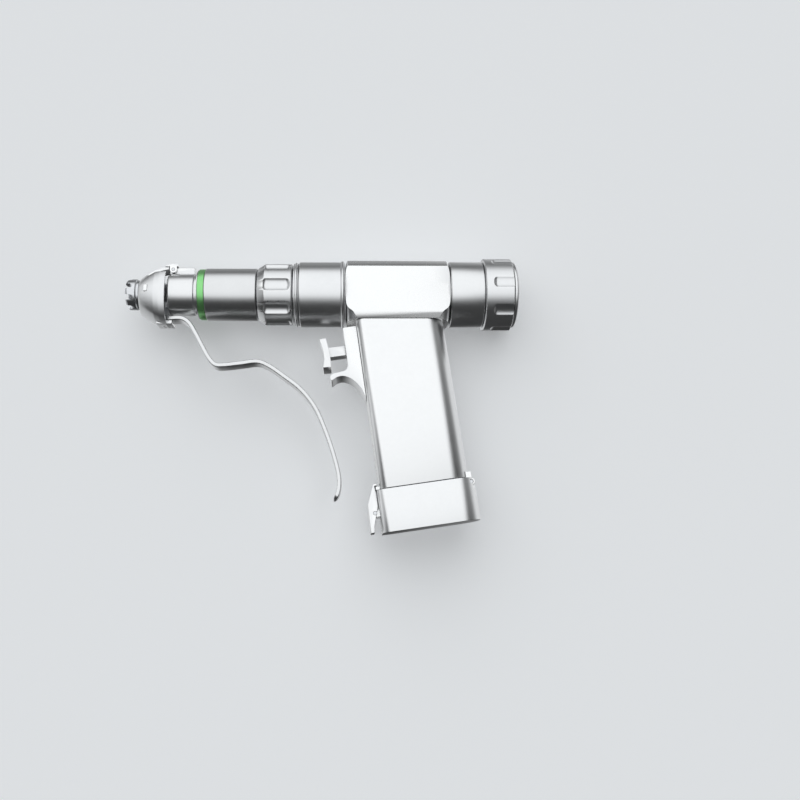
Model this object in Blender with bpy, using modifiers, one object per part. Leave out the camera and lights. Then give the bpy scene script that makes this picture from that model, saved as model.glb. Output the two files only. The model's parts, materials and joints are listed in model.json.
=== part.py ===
"""A cordless cannulated surgical drill with its wire-driver attachment.

The drill stands on its battery cover. The origin is on the cover's base under the grip's axis,
+Z runs up the grip and the nose points to -X. Parts of the barrel are placed in a tilted frame
whose axes are up (X), across (Y) and forward (Z), so a turned profile lists (radius, forward).
"""

import math

import bmesh
import bpy
from mathutils import Matrix, Vector

MM = 0.001

# Overall layout
BARREL_HEIGHT = 138.0 * MM
BARREL_TILT = math.radians(7.4)
SEAT_GAP = 0.3 * MM
RUNNING_GAP = 0.1 * MM
WIRE_BORE_RADIUS = 2.1 * MM

# Central block
BLOCK_FRONT = 28.8 * MM
BLOCK_REAR = -32.0 * MM
BLOCK_TOP_RADIUS = 20.0 * MM
BLOCK_HALF_WIDTH = 15.7 * MM
BLOCK_BOTTOM = 18.6 * MM
BLOCK_CHAMFER_HEIGHT = 3.5 * MM
BLOCK_CHAMFER_WIDTH = 1.3 * MM
BLOCK_BORE_RADIUS = 13.6 * MM
BLOCK_DOME_STEPS = ((15.7, 0.0), (18.6, 0.6), (20.2, 1.8), (21.5, 4.2), (24.2, 8.0), (27.0, 12.5))

# Barrels
BARREL_BORE_RADIUS = 16.2 * MM
FRONT_BARREL_RADIUS = BARREL_BORE_RADIUS + 2.8 * MM
FRONT_BARREL_FRONT = 55.5 * MM
BEAD_HEIGHT = 0.7 * MM
BEAD_WIDTH = 1.0 * MM
REAR_BARREL_RADIUS = BARREL_BORE_RADIUS + 3.1 * MM
REAR_BARREL_REAR = -51.8 * MM

# Selector ring and rear cap
SELECTOR_RADIUS = REAR_BARREL_RADIUS + 1.9 * MM
SELECTOR_REAR = -68.6 * MM
SELECTOR_BAND = 4.2 * MM
SELECTOR_LAND_ANGLE = math.radians(27.0)
SELECTOR_TURN = math.radians(-19.9)
SELECTOR_FLUTE_DEPTH = 0.9 * MM
REAR_HUB_RADIUS = BARREL_BORE_RADIUS - 0.2 * MM
REAR_CAP_RADIUS = REAR_BARREL_RADIUS + 0.1 * MM
REAR_CAP_THICKNESS = 2.6 * MM

# Coupling for the attachments
SPIGOT_RADIUS = 9.0 * MM
SOCKET_RADIUS = 12.5 * MM
SOCKET_FRONT = 78.4 * MM
STOP_RING_RADIUS = FRONT_BARREL_RADIUS - 0.8 * MM
STOP_RING_LENGTH = 2.7 * MM
COLLAR_RADIUS = SOCKET_RADIUS + 5.3 * MM
COLLAR_FRONT = 79.3 * MM
COLLAR_REAR = 59.2 * MM
COLLAR_CHAMFER = 3.6 * MM
COLLAR_LAND_ANGLE = math.radians(20.0)
COLLAR_TURN = math.radians(-20.6)
COLLAR_FLUTE_DEPTH = 1.5 * MM
FLUTE_COUNT = 8
KEY_WIDTH = 3.0 * MM
HEX_ACROSS_FLATS = 7.0 * MM

# Motor
STATOR_LENGTH = 40.0 * MM
STATOR_BORE_RADIUS = 9.2 * MM
MAGNET_RADIUS = 8.7 * MM
MOTOR_MIDDLE = -6.0 * MM
SHAFT_RADIUS = 4.2 * MM
BEARING_WIDTH = 4.0 * MM
MOTOR_BEARING_RADIUS = 8.0 * MM

# Planetary gears
GEAR_MODULE = 0.65 * MM
SUN_TEETH = 18
PLANET_TEETH = 12
RING_TEETH = SUN_TEETH + 2 * PLANET_TEETH
PLANET_COUNT = 3
GEAR_REAR = 34.0 * MM
GEAR_WIDTH = 8.0 * MM
GEAR_BACKLASH = 0.14 * MM
PRESSURE_ANGLE = math.radians(25.0)
PLANET_PIN_RADIUS = 1.4 * MM
CARRIER_RADIUS = 13.0 * MM
CARRIER_THICKNESS = 3.0 * MM
SPINDLE_RADIUS = 6.2 * MM

# Attachment
SLEEVE_REAR = 79.8 * MM
SLEEVE_FRONT = 109.4 * MM
SLEEVE_BORE_RADIUS = 10.0 * MM
COLOUR_RING_WIDTH = 3.6 * MM
NECK_RADIUS = 12.3 * MM
COLOUR_RING_RADIUS = NECK_RADIUS + 2.5 * MM
SLEEVE_RADIUS = COLOUR_RING_RADIUS + 0.45 * MM
NECK_FRONT = 131.0 * MM
NECK_FLANGE_WIDTH = 0.6 * MM
NECK_GROOVE_WIDTH = 2.1 * MM
RIB_HEIGHT = 3.1 * MM
RIB_HALF_WIDTH = 4.0 * MM
DRIVE_RADIUS = 4.0 * MM
DRIVE_BEARING_RADIUS = 8.6 * MM
CROWN_RADIUS = 9.0 * MM
CROWN_FRONT = 155.0 * MM
CROWN_REAR = 147.6 * MM
CROWN_NOTCH_WIDTH = 3.4 * MM
CROWN_NOTCH_DEPTH = 3.6 * MM
CROWN_TURN = math.radians(-4.4)
COLLET_SLITS = 3

# Yoke and squeeze lever
YOKE_FRONT = 146.9 * MM
YOKE_REAR = 131.4 * MM
YOKE_DROP = 1.8 * MM
YOKE_WALL = 1.5 * MM
YOKE_SHAPE = ((0.0, -1.4), (3.6, 1.1), (9.0, 4.1), (15.2, 5.8), (20.0, 6.0))
STRAP_HALF_WIDTH = 4.6 * MM
PIVOT_FORWARD = 128.6 * MM
PIVOT_UP = NECK_RADIUS + 1.4 * MM
PIVOT_PIN_RADIUS = 0.9 * MM
EAR_RADIUS = 2.0 * MM
LEVER_THICKNESS = 2.5 * MM
LEVER_HALF_WIDTH = 5.0 * MM
SEAT_THICKNESS = 2.1 * MM
RIVET_RADIUS = 0.9 * MM
RIVET_PLACES = (133.2 * MM, 130.0 * MM)

# Grip
GRIP_FRONT = -25.0 * MM
GRIP_REAR = 25.4 * MM
GRIP_HALF_WIDTH = 14.5 * MM
GRIP_FRONT_CORNER = 5.0 * MM
GRIP_REAR_CORNER = 11.0 * MM
GRIP_WALL = 2.0 * MM
COVER_HEIGHT = 23.6 * MM
GRIP_TOP = BARREL_HEIGHT - 8 * MM
SEAM_GAP = 0.4 * MM

# Battery cover and latch
COVER_FRONT = -26.8 * MM
COVER_REAR = 28.6 * MM
COVER_HALF_WIDTH = 14.9 * MM
COVER_WALL = 2.0 * MM
COVER_FLOOR = 2.4 * MM
HINGE_X = 26.2 * MM
HINGE_Z = 21.4 * MM
HINGE_PIN_RADIUS = 1.1 * MM
KNUCKLE_RADIUS = 2.3 * MM
KNUCKLE_HALF_WIDTH = 4.0 * MM
HINGE_HALF_WIDTH = 9.5 * MM
LATCH_HALF_WIDTH = 8.5 * MM
LATCH_PIVOT_X = -29.4 * MM
LATCH_PIVOT_Z = 11.6 * MM
LATCH_PIN_RADIUS = 1.1 * MM
LATCH_TOP = 21.0 * MM

# Trigger
TRIGGER_Z = BARREL_HEIGHT - 31.0 * MM
TRIGGER_HALF_WIDTH = 8.0 * MM
STEM_HALF_WIDTH = 4.2 * MM
STEM_HALF_HEIGHT = 2.9 * MM
GUARD_HALF_WIDTH = 8.5 * MM
GUARD_FRONT = -33.0 * MM
BUSH_WALL = 1.3 * MM
BUSH_LENGTH = 4.6 * MM
PLUNGER_RADIUS = 2.0 * MM
PLUNGER_SHOULDER = -27.0 * MM

# Side outlines of (x, height above the trigger's middle), in millimetres
GUARD_OUTLINE = (
    (-25.3, 12.6), (-33.0, 12.4), (-33.0, -10.0), (-34.2, -12.2), (-36.6, -13.2), (-41.8, -13.7),
    (-43.5, -14.6), (-44.0, -16.1), (-43.4, -17.7), (-41.9, -17.1), (-39.8, -16.1), (-36.7, -15.9),
    (-33.2, -17.4), (-30.0, -20.4), (-27.4, -24.4), (-25.3, -30.4),
)
TRIGGER_OUTLINE = (
    (-43.5, 7.6), (-47.1, 7.4), (-46.4, 3.6), (-45.7, -0.6), (-46.0, -5.0), (-47.2, -9.4),
    (-42.6, -9.6), (-42.4, -4.6), (-42.6, 0.6),
)

# Squeeze lever: its route as (forward, height from the underside of the neck) points, in millimetres
LEVER_ROUTE = (
    (134.6, -3.0), (129.0, -3.0), (123.0, -3.2), (118.6, -6.3), (114.6, -12.9), (110.8, -20.1),
    (107.2, -26.5), (103.4, -30.7), (98.0, -31.1), (89.0, -30.1), (79.5, -29.1), (72.5, -31.9),
    (64.0, -37.9), (54.6, -45.5), (46.5, -55.9), (40.6, -69.1), (35.8, -83.3), (32.9, -95.7),
    (33.2, -103.9), (35.6, -109.3),
)

# Facets round a full turn
FINE = 38
MEDIUM = 28
SMALL = 16
TINY = 10
FLUTE_STEPS = 22

# Scene, collections and frames

for old in list(bpy.data.objects):
    bpy.data.objects.remove(old, do_unlink=True)

drill = bpy.data.collections.new("surgical_power_drill")
cutters = bpy.data.collections.new("cutters")
bpy.context.scene.collection.children.link(drill)
bpy.context.scene.collection.children.link(cutters)
cutters.hide_render = True


def empty(name, parent=None, at=(0, 0, 0), turn=(0, 0, 0)):
    """A frame that other pieces are placed in"""
    frame = bpy.data.objects.new(name, None)
    frame.empty_display_size = 10 * MM
    frame.parent = parent
    frame.location = at
    frame.rotation_euler = turn
    drill.objects.link(frame)
    return frame


barrel = empty("barrel_frame", at=(0, 0, BARREL_HEIGHT), turn=(0, BARREL_TILT - math.pi / 2, 0))
SIDE_TO_WORLD = Matrix(((1, 0, 0), (0, 0, -1), (0, 1, 0))).to_4x4()
SIDE_TO_BARREL = Matrix(((0, 1, 0), (0, 0, 1), (1, 0, 0))).to_4x4()


def finish(name, colour, roughness, metallic):
    material = bpy.data.materials.new(name)
    material.use_nodes = True
    shader = material.node_tree.nodes["Principled BSDF"]
    shader.inputs["Base Color"].default_value = (*colour, 1.0)
    shader.inputs["Roughness"].default_value = roughness
    shader.inputs["Metallic"].default_value = metallic
    return material


satin = finish("satin_alloy", (0.74, 0.75, 0.76), 0.32, 1.0)
steel = finish("polished_steel", (0.66, 0.67, 0.69), 0.22, 1.0)
green = finish("green_anodised", (0.12, 0.52, 0.20), 0.4, 0.6)
magnet = finish("magnet_nickel", (0.45, 0.45, 0.46), 0.4, 1.0)
copper = finish("winding_copper", (0.62, 0.30, 0.15), 0.45, 1.0)
plastic = finish("dark_plastic", (0.05, 0.05, 0.055), 0.5, 0.0)
rubber = finish("seal_rubber", (0.03, 0.03, 0.03), 0.8, 0.0)
wrap = finish("battery_wrap", (0.10, 0.14, 0.30), 0.45, 0.0)
board = finish("circuit_board", (0.02, 0.22, 0.10), 0.5, 0.0)
brass = finish("contact_brass", (0.72, 0.52, 0.22), 0.3, 1.0)


# Modelling helpers


def add(name, mesh, material=None, parent=None, at=(0, 0, 0), turn=(0, 0, 0)):
    """A piece of the drill, or a cutter when it has no material"""
    piece = bpy.data.objects.new(name, mesh)
    piece.parent = parent
    piece.location = at
    piece.rotation_euler = turn
    if material is None:
        piece.hide_render = True
        piece.display_type = "WIRE"
        cutters.objects.link(piece)
        return piece
    mesh.materials.append(material)
    drill.objects.link(piece)
    return piece


def smooth(mesh, angle=35):
    mesh.shade_smooth()
    mesh.set_sharp_from_angle(angle=math.radians(angle))


def outline_mesh(name, outlines, half_thickness, matrix=None):
    """Flat outlines of (x, y) points, later ones being holes, thickened along Z and then turned"""
    curve = bpy.data.curves.new(name, "CURVE")
    curve.dimensions = "2D"
    curve.fill_mode = "BOTH"
    curve.extrude = half_thickness
    for outline in outlines:
        spline = curve.splines.new("POLY")
        spline.points.add(len(outline) - 1)
        for point, (x, y) in zip(spline.points, outline):
            point.co = (x, y, 0, 1)
        spline.use_cyclic_u = True
    source = bpy.data.objects.new(name, curve)
    bpy.context.scene.collection.objects.link(source)
    graph = bpy.context.evaluated_depsgraph_get()
    mesh = bpy.data.meshes.new_from_object(source.evaluated_get(graph))
    bpy.data.objects.remove(source, do_unlink=True)
    form = bmesh.new()
    form.from_mesh(mesh)
    bmesh.ops.remove_doubles(form, verts=form.verts, dist=1e-6)
    if matrix is not None:
        bmesh.ops.transform(form, matrix=matrix, verts=form.verts)
    bmesh.ops.recalc_face_normals(form, faces=form.faces)
    form.to_mesh(mesh)
    form.free()
    smooth(mesh)
    return mesh


def turned_mesh(name, profile):
    """Profile of (radius, forward) points: down the outer side, then up the bore"""
    mesh = bpy.data.meshes.new(name)
    closed = min(radius for radius, _ in profile) > 0
    count = len(profile)
    edges = [(i, (i + 1) % count) for i in range(count if closed else count - 1)]
    mesh.from_pydata([(radius, 0, forward) for radius, forward in profile], edges, [])
    return mesh


def turned(name, profile, material=None, parent=barrel, steps=MEDIUM, at=(0, 0, 0), turn=(0, 0, 0)):
    """A turned piece: the profile swept once round its own Z axis"""
    piece = add(name, turned_mesh(name, profile), material, parent, at, turn)
    screw = piece.modifiers.new("turning", "SCREW")
    screw.steps = steps
    screw.render_steps = steps
    screw.use_merge_vertices = True
    screw.merge_threshold = 1e-6
    screw.use_smooth_shade = True
    return piece


def tube(radius, bore, front, rear):
    return [(radius, front), (radius, rear), (bore, rear), (bore, front)]


def rod(radius, front, rear):
    return [(0, front), (radius, front), (radius, rear), (0, rear)]


def box_mesh(name, low, high, bevel=0.0):
    """A box between two corners, with its edges rounded by one facet"""
    form = bmesh.new()
    bmesh.ops.create_cube(form, size=1)
    low = Vector(low)
    high = Vector(high)
    bmesh.ops.scale(form, vec=high - low, verts=form.verts)
    bmesh.ops.translate(form, vec=(low + high) / 2, verts=form.verts)
    if bevel:
        bmesh.ops.bevel(form, geom=form.edges, offset=bevel, segments=1, affect="EDGES")
    mesh = bpy.data.meshes.new(name)
    form.to_mesh(mesh)
    form.free()
    return mesh


def box(name, low, high, material=None, parent=None, bevel=0.0):
    return add(name, box_mesh(name, low, high, bevel), material, parent)


def cross_rod(name, x, z, radius, half_length, material=None, parent=None, steps=TINY):
    """A round rod lying across the drill, along Y"""
    profile = rod(radius, half_length, -half_length)
    return turned(name, profile, material, parent, steps, (x, 0, z), (math.pi / 2, 0, 0))


def combine(piece, tool, operation):
    change = piece.modifiers.new(tool.name, "BOOLEAN")
    change.operation = operation
    change.solver = "EXACT"
    change.object = tool


def cut(piece, *tools):
    for tool in tools:
        combine(piece, tool, "DIFFERENCE")


def fuse(piece, *tools):
    for tool in tools:
        combine(piece, tool, "UNION")


def arc(x, y, radius, start, end, count):
    """Points along an arc, its angles in degrees"""
    angles = [math.radians(start + (end - start) * i / count) for i in range(count + 1)]
    return [(x + radius * math.cos(a), y + radius * math.sin(a)) for a in angles]


def rounded_section(front, rear, half_width, front_corner, rear_corner, facets=4):
    """The plan of the grip and its cover: flat sides, a tight front edge and a full rear edge"""
    points = arc(front + front_corner, half_width - front_corner, front_corner, 180, 90, facets)
    points += arc(rear - rear_corner, half_width - rear_corner, rear_corner, 90, 0, facets + 2)
    points += arc(rear - rear_corner, rear_corner - half_width, rear_corner, 0, -90, facets + 2)
    points += arc(front + front_corner, front_corner - half_width, front_corner, -90, -180, facets)
    return points[::-1]


def slab(name, section, low, high, material=None, parent=None, holes=()):
    """A plan outline given height from low to high"""
    lift = Matrix.Translation((0, 0, (low + high) / 2))
    return add(name, outline_mesh(name, [section, *holes], (high - low) / 2, lift), material, parent)


def coil(name, radius, wire, turns, start, end, material, parent, at=(0, 0, 0), turn=(0, 0, 0)):
    """A round-wire spring along its own Z axis"""
    curve = bpy.data.curves.new(name, "CURVE")
    curve.dimensions = "3D"
    curve.bevel_depth = wire / 2
    curve.bevel_resolution = 0
    curve.use_fill_caps = True
    spline = curve.splines.new("POLY")
    per_turn = 10
    count = int(turns * per_turn)
    spline.points.add(count)
    for i, point in enumerate(spline.points):
        angle = 2 * math.pi * i / per_turn
        height = start + (end - start) * i / count
        point.co = (radius * math.cos(angle), radius * math.sin(angle), height, 1)
    curve.materials.append(material)
    spring = bpy.data.objects.new(name, curve)
    spring.parent = parent
    spring.location = at
    spring.rotation_euler = turn
    drill.objects.link(spring)
    return spring


def flute_cutters(name, outer, depth, land_angle, phase, front, rear, end_radius):
    """Scallop cutters with rounded run-outs, set round the barrel axis"""
    pitch = 2 * math.pi / FLUTE_COUNT
    half_chord = outer * math.sin((pitch - land_angle) / 2)
    rim = outer * math.cos((pitch - land_angle) / 2)
    radius = (half_chord**2 + depth**2) / (2 * depth)
    distance = rim - depth + radius
    ends = [(radius - end_radius * (1 - math.cos(a)), end_radius * math.sin(a)) for a in (0, 0.9)]
    profile = [(0, front)] + [(r, front - end_radius + z) for r, z in ends[::-1]]
    profile += [(r, rear + end_radius - z) for r, z in ends] + [(0, rear)]
    tools = []
    for i in range(FLUTE_COUNT):
        angle = phase + (i + 0.5) * pitch
        place = (distance * math.cos(angle), distance * math.sin(angle), 0)
        spin = (0, 0, angle)
        tools.append(turned(f"{name}_{i + 1}", profile, steps=FLUTE_STEPS, at=place, turn=spin))
    return tools


# Central block: a round top, flat sides and coned ends


def block_section():
    rise = math.degrees(math.asin(BLOCK_HALF_WIDTH / BLOCK_TOP_RADIUS))
    top = arc(0, 0, BLOCK_TOP_RADIUS, -rise, rise, 12)
    foot = BLOCK_BOTTOM - BLOCK_CHAMFER_HEIGHT
    sill = BLOCK_HALF_WIDTH - BLOCK_CHAMFER_WIDTH
    near = [(-foot, BLOCK_HALF_WIDTH), (-BLOCK_BOTTOM, sill)]
    far = [(-BLOCK_BOTTOM, -sill), (-foot, -BLOCK_HALF_WIDTH)]
    return top + near + far


def block_envelope():
    front = [(radius * MM, BLOCK_FRONT - back * MM) for radius, back in BLOCK_DOME_STEPS]
    rear = [(radius * MM, BLOCK_REAR + back * MM) for radius, back in BLOCK_DOME_STEPS[::-1]]
    return turned("block_envelope", [(0, BLOCK_FRONT), *front, *rear, (0, BLOCK_REAR)], steps=FINE)


middle = Matrix.Translation((0, 0, (BLOCK_FRONT + BLOCK_REAR) / 2))
block_mesh = outline_mesh("housing_block", [block_section()], (BLOCK_FRONT - BLOCK_REAR) / 2, middle)
housing_block = add("housing_block", block_mesh, satin, barrel)
combine(housing_block, block_envelope(), "INTERSECT")
block_bore = turned("block_bore", rod(BLOCK_BORE_RADIUS, BLOCK_FRONT + MM, BLOCK_REAR - MM), steps=MEDIUM)
wire_way = box(
    "wire_way",
    (-BLOCK_BOTTOM - MM, -8 * MM, -10 * MM),
    (-BLOCK_BORE_RADIUS + 2 * MM, 8 * MM, 6 * MM),
    parent=barrel,
)
cut(housing_block, block_bore, wire_way)

# Front barrel with its bead, and rear barrel

front_rear = BLOCK_FRONT + SEAT_GAP
bead = FRONT_BARREL_RADIUS + BEAD_HEIGHT
front_barrel_profile = [
    (FRONT_BARREL_RADIUS - 0.5 * MM, FRONT_BARREL_FRONT),
    (FRONT_BARREL_RADIUS, FRONT_BARREL_FRONT - 0.5 * MM),
    (FRONT_BARREL_RADIUS, front_rear + 2 * BEAD_WIDTH),
    (bead, front_rear + 1.6 * BEAD_WIDTH),
    (bead, front_rear + 0.6 * BEAD_WIDTH),
    (FRONT_BARREL_RADIUS, front_rear),
    (BARREL_BORE_RADIUS, front_rear),
    (BARREL_BORE_RADIUS, FRONT_BARREL_FRONT),
]
turned("front_barrel", front_barrel_profile, satin, steps=FINE)
rear_front = BLOCK_REAR - SEAT_GAP
rear_barrel_profile = tube(REAR_BARREL_RADIUS, BARREL_BORE_RADIUS, rear_front, REAR_BARREL_REAR)
turned("rear_barrel", rear_barrel_profile, satin, steps=FINE)

# Rear hub, fluted selector ring and end cap

hub_profile = [
    (BARREL_BORE_RADIUS - RUNNING_GAP, REAR_BARREL_REAR + 8 * MM),
    (BARREL_BORE_RADIUS - RUNNING_GAP, REAR_BARREL_REAR + SEAT_GAP),
    (REAR_HUB_RADIUS, REAR_BARREL_REAR),
    (REAR_HUB_RADIUS, SELECTOR_REAR - SEAT_GAP),
    (REAR_HUB_RADIUS - 3 * MM, SELECTOR_REAR - SEAT_GAP),
    (REAR_HUB_RADIUS - 3 * MM, REAR_BARREL_REAR + 8 * MM),
]
turned("rear_hub", hub_profile, steel)
selector_front = REAR_BARREL_REAR - SEAT_GAP
selector_profile = [
    (SELECTOR_RADIUS - 0.6 * MM, selector_front),
    (SELECTOR_RADIUS, selector_front - 0.6 * MM),
    (SELECTOR_RADIUS, SELECTOR_REAR),
    (REAR_HUB_RADIUS + RUNNING_GAP, SELECTOR_REAR),
    (REAR_HUB_RADIUS + RUNNING_GAP, selector_front),
]
selector_ring = turned("selector_ring", selector_profile, satin, steps=FINE)
selector_flutes = flute_cutters(
    "selector_flute",
    SELECTOR_RADIUS,
    SELECTOR_FLUTE_DEPTH,
    SELECTOR_LAND_ANGLE,
    SELECTOR_TURN,
    selector_front - SELECTOR_BAND,
    SELECTOR_REAR - 6 * MM,
    2.5 * MM,
)
cut(selector_ring, *selector_flutes)
cap_front = SELECTOR_REAR - 2 * SEAT_GAP
cap_rear = cap_front - REAR_CAP_THICKNESS
cap_profile = [
    (REAR_CAP_RADIUS, cap_front),
    (REAR_CAP_RADIUS, cap_front - 0.5 * REAR_CAP_THICKNESS),
    (REAR_CAP_RADIUS - 0.8 * MM, cap_rear + 0.4 * MM),
    (REAR_CAP_RADIUS - 1.6 * MM, cap_rear),
    (5.0 * MM, cap_rear),
    (WIRE_BORE_RADIUS + 0.4 * MM, cap_rear + 1.2 * MM),
    (WIRE_BORE_RADIUS + 0.4 * MM, cap_front),
]
turned("rear_cap", cap_profile, satin, steps=FINE)

# Motor: stator, magnet on its hollow shaft, bearings in their end bells

motor_radius = BLOCK_BORE_RADIUS - SEAT_GAP
stator_front = MOTOR_MIDDLE + STATOR_LENGTH / 2
stator_rear = MOTOR_MIDDLE - STATOR_LENGTH / 2
stator = tube(motor_radius, STATOR_BORE_RADIUS, stator_front, stator_rear)
turned("motor_stator", stator, copper, steps=MEDIUM)
magnet_inner = SHAFT_RADIUS + RUNNING_GAP
magnet_profile = tube(MAGNET_RADIUS, magnet_inner, stator_front - 3 * MM, stator_rear + 3 * MM)
turned("rotor_magnet", magnet_profile, magnet, steps=SMALL)
gear_front = GEAR_REAR + GEAR_WIDTH
shaft_rear = stator_rear - 12 * MM
shaft_front = gear_front + 0.5 * MM
turned("motor_shaft", tube(SHAFT_RADIUS, WIRE_BORE_RADIUS, shaft_front, shaft_rear), steel, steps=SMALL)


def end_bell(name, front, rear, seat_front):
    """A bearing housing: a disc with a seat open on the side away from the stator"""
    seat = MOTOR_BEARING_RADIUS + SEAT_GAP
    hole = SHAFT_RADIUS + 1.5 * MM
    step = seat_front - math.copysign(BEARING_WIDTH + SEAT_GAP, seat_front - (front + rear) / 2)
    bores = [(seat, front), (seat, step), (hole, step), (hole, rear)]
    if seat_front == rear:
        bores = [(hole, front), (hole, step), (seat, step), (seat, rear)]
    return turned(name, [(motor_radius, front), (motor_radius, rear), *bores[::-1]], satin, steps=MEDIUM)


bell_depth = BEARING_WIDTH + 2.5 * MM
front_bell_rear = stator_front + SEAT_GAP
rear_bell_front = stator_rear - SEAT_GAP
end_bell("front_end_bell", front_bell_rear + bell_depth, front_bell_rear, front_bell_rear + bell_depth)
end_bell("rear_end_bell", rear_bell_front, rear_bell_front - bell_depth, rear_bell_front - bell_depth)
motor_bearing = tube(MOTOR_BEARING_RADIUS, SHAFT_RADIUS + RUNNING_GAP, BEARING_WIDTH, 0)
front_bearing_rear = front_bell_rear + bell_depth - BEARING_WIDTH
rear_bearing_rear = rear_bell_front - bell_depth
turned("motor_front_bearing", motor_bearing, steel, steps=SMALL, at=(0, 0, front_bearing_rear))
turned("motor_rear_bearing", motor_bearing, steel, steps=SMALL, at=(0, 0, rear_bearing_rear))
hall_board_front = rear_bearing_rear - SEAT_GAP
hall_board = tube(motor_radius, SHAFT_RADIUS + 1.5 * MM, hall_board_front, hall_board_front - 1.6 * MM)
turned("motor_sensor_board", hall_board, board, steps=MEDIUM)

# Planetary gears


def involute(angle):
    return math.tan(angle) - angle


def tooth_half_angle(radius, teeth, internal):
    """Half the angle that a tooth fills at a radius; for a ring gear, half its space"""
    pitch_radius = teeth * GEAR_MODULE / 2
    base = pitch_radius * math.cos(PRESSURE_ANGLE)
    pressure = math.acos(min(1.0, base / radius))
    play = GEAR_BACKLASH / (2 * pitch_radius) * (-1 if internal else 1)
    return math.pi / (2 * teeth) - play / 2 + involute(PRESSURE_ANGLE) - involute(pressure)


def gear_outline(teeth, phase=0.0, internal=False):
    """Tooth flanks on the involute; a ring gear's outline is that of its spaces"""
    pitch_radius = teeth * GEAR_MODULE / 2
    addendum = 0.8 * GEAR_MODULE
    dedendum = 1.1 * GEAR_MODULE
    outer = pitch_radius + (dedendum if internal else addendum)
    root = pitch_radius - (addendum if internal else dedendum)
    base = pitch_radius * math.cos(PRESSURE_ANGLE)
    start = max(root, base * 1.002)
    radii = [start, outer]
    halves = [tooth_half_angle(radius, teeth, internal) for radius in radii]
    if root < start:
        radii = [root, *radii]
        halves = [halves[0] * 1.05, *halves]
    points = []
    for tooth in range(teeth):
        middle_angle = phase + 2 * math.pi * tooth / teeth
        flank = [(r, middle_angle - h) for r, h in zip(radii, halves)]
        flank += [(r, middle_angle + h) for r, h in zip(radii[::-1], halves[::-1])]
        points += [(r * math.cos(a), r * math.sin(a)) for r, a in flank]
    return points


def circle(radius, count=18, x=0.0, y=0.0):
    return arc(x, y, radius, 0, 360 - 360 / count, count - 1)


gear_middle = Matrix.Translation((0, 0, GEAR_REAR + GEAR_WIDTH / 2))
planet_orbit = (SUN_TEETH + PLANET_TEETH) * GEAR_MODULE / 2
sun_bore = circle(SHAFT_RADIUS + RUNNING_GAP)
sun_mesh = outline_mesh("sun_pinion", [gear_outline(SUN_TEETH), sun_bore], GEAR_WIDTH / 2, gear_middle)
add("sun_pinion", sun_mesh, steel, barrel)

# At planet angle A the sun's phase plus the planet's, each in pitches, makes half a pitch
for number in range(PLANET_COUNT):
    orbit_angle = 2 * math.pi * number / PLANET_COUNT
    sun_phase = orbit_angle * SUN_TEETH / (2 * math.pi)
    facing = (0.5 - sun_phase) * 2 * math.pi / PLANET_TEETH
    planet_phase = orbit_angle + math.pi - facing
    planet_bore = circle(PLANET_PIN_RADIUS + RUNNING_GAP, 12)
    planet_outline = gear_outline(PLANET_TEETH, planet_phase)
    planet_mesh = outline_mesh("planet_gear", [planet_outline, planet_bore], GEAR_WIDTH / 2, gear_middle)
    seat = (planet_orbit * math.cos(orbit_angle), planet_orbit * math.sin(orbit_angle), 0)
    add(f"planet_gear_{number + 1}", planet_mesh, steel, barrel, at=seat)

# The first planet lies at angle 0, where a tooth of it must face a space of the ring
first_facing = 0.5 * 2 * math.pi / PLANET_TEETH
first_phase = (0.0 - (math.pi - first_facing)) * PLANET_TEETH / (2 * math.pi)
ring_phase = -first_phase * 2 * math.pi / RING_TEETH
ring_hole = gear_outline(RING_TEETH, ring_phase, internal=True)
ring_rim = circle(BARREL_BORE_RADIUS - SEAT_GAP, MEDIUM)
ring_mesh = outline_mesh("ring_gear", [ring_rim, ring_hole], GEAR_WIDTH / 2 + 0.5 * MM, gear_middle)
add("ring_gear", ring_mesh, steel, barrel)

# Carrier with its three pins, and the output spindle with a hex socket

carrier_rear = gear_front + 1.0 * MM
carrier_front = carrier_rear + CARRIER_THICKNESS
carrier_profile = [
    (CARRIER_RADIUS, carrier_front),
    (CARRIER_RADIUS, carrier_rear),
    (SHAFT_RADIUS + SEAT_GAP, carrier_rear),
    (SHAFT_RADIUS + SEAT_GAP, carrier_front),
]
planet_carrier = turned("planet_carrier", carrier_profile, steel, steps=MEDIUM)
for number in range(PLANET_COUNT):
    orbit_angle = 2 * math.pi * number / PLANET_COUNT
    seat = (planet_orbit * math.cos(orbit_angle), planet_orbit * math.sin(orbit_angle), 0)
    pin = rod(PLANET_PIN_RADIUS, carrier_rear + MM, GEAR_REAR - 0.5 * MM)
    fuse(planet_carrier, turned(f"planet_pin_{number + 1}", pin, steps=TINY, at=seat))


def hexagon(across_flats):
    corner = across_flats / math.sqrt(3)
    return arc(0, 0, corner, 0, 300, 5)


spindle_rear = carrier_front + SEAT_GAP
spindle_front = FRONT_BARREL_FRONT + 2.6 * MM
spindle_socket = hexagon(HEX_ACROSS_FLATS + 2 * RUNNING_GAP)
spindle_middle = Matrix.Translation((0, 0, (spindle_front + spindle_rear) / 2))
spindle_length = spindle_front - spindle_rear
spindle_outline = [circle(SPINDLE_RADIUS, SMALL), spindle_socket]
spindle_mesh = outline_mesh("output_spindle", spindle_outline, spindle_length / 2, spindle_middle)
add("output_spindle", spindle_mesh, steel, barrel)

# Coupling socket with its bearing, stop ring and locating pin

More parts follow.
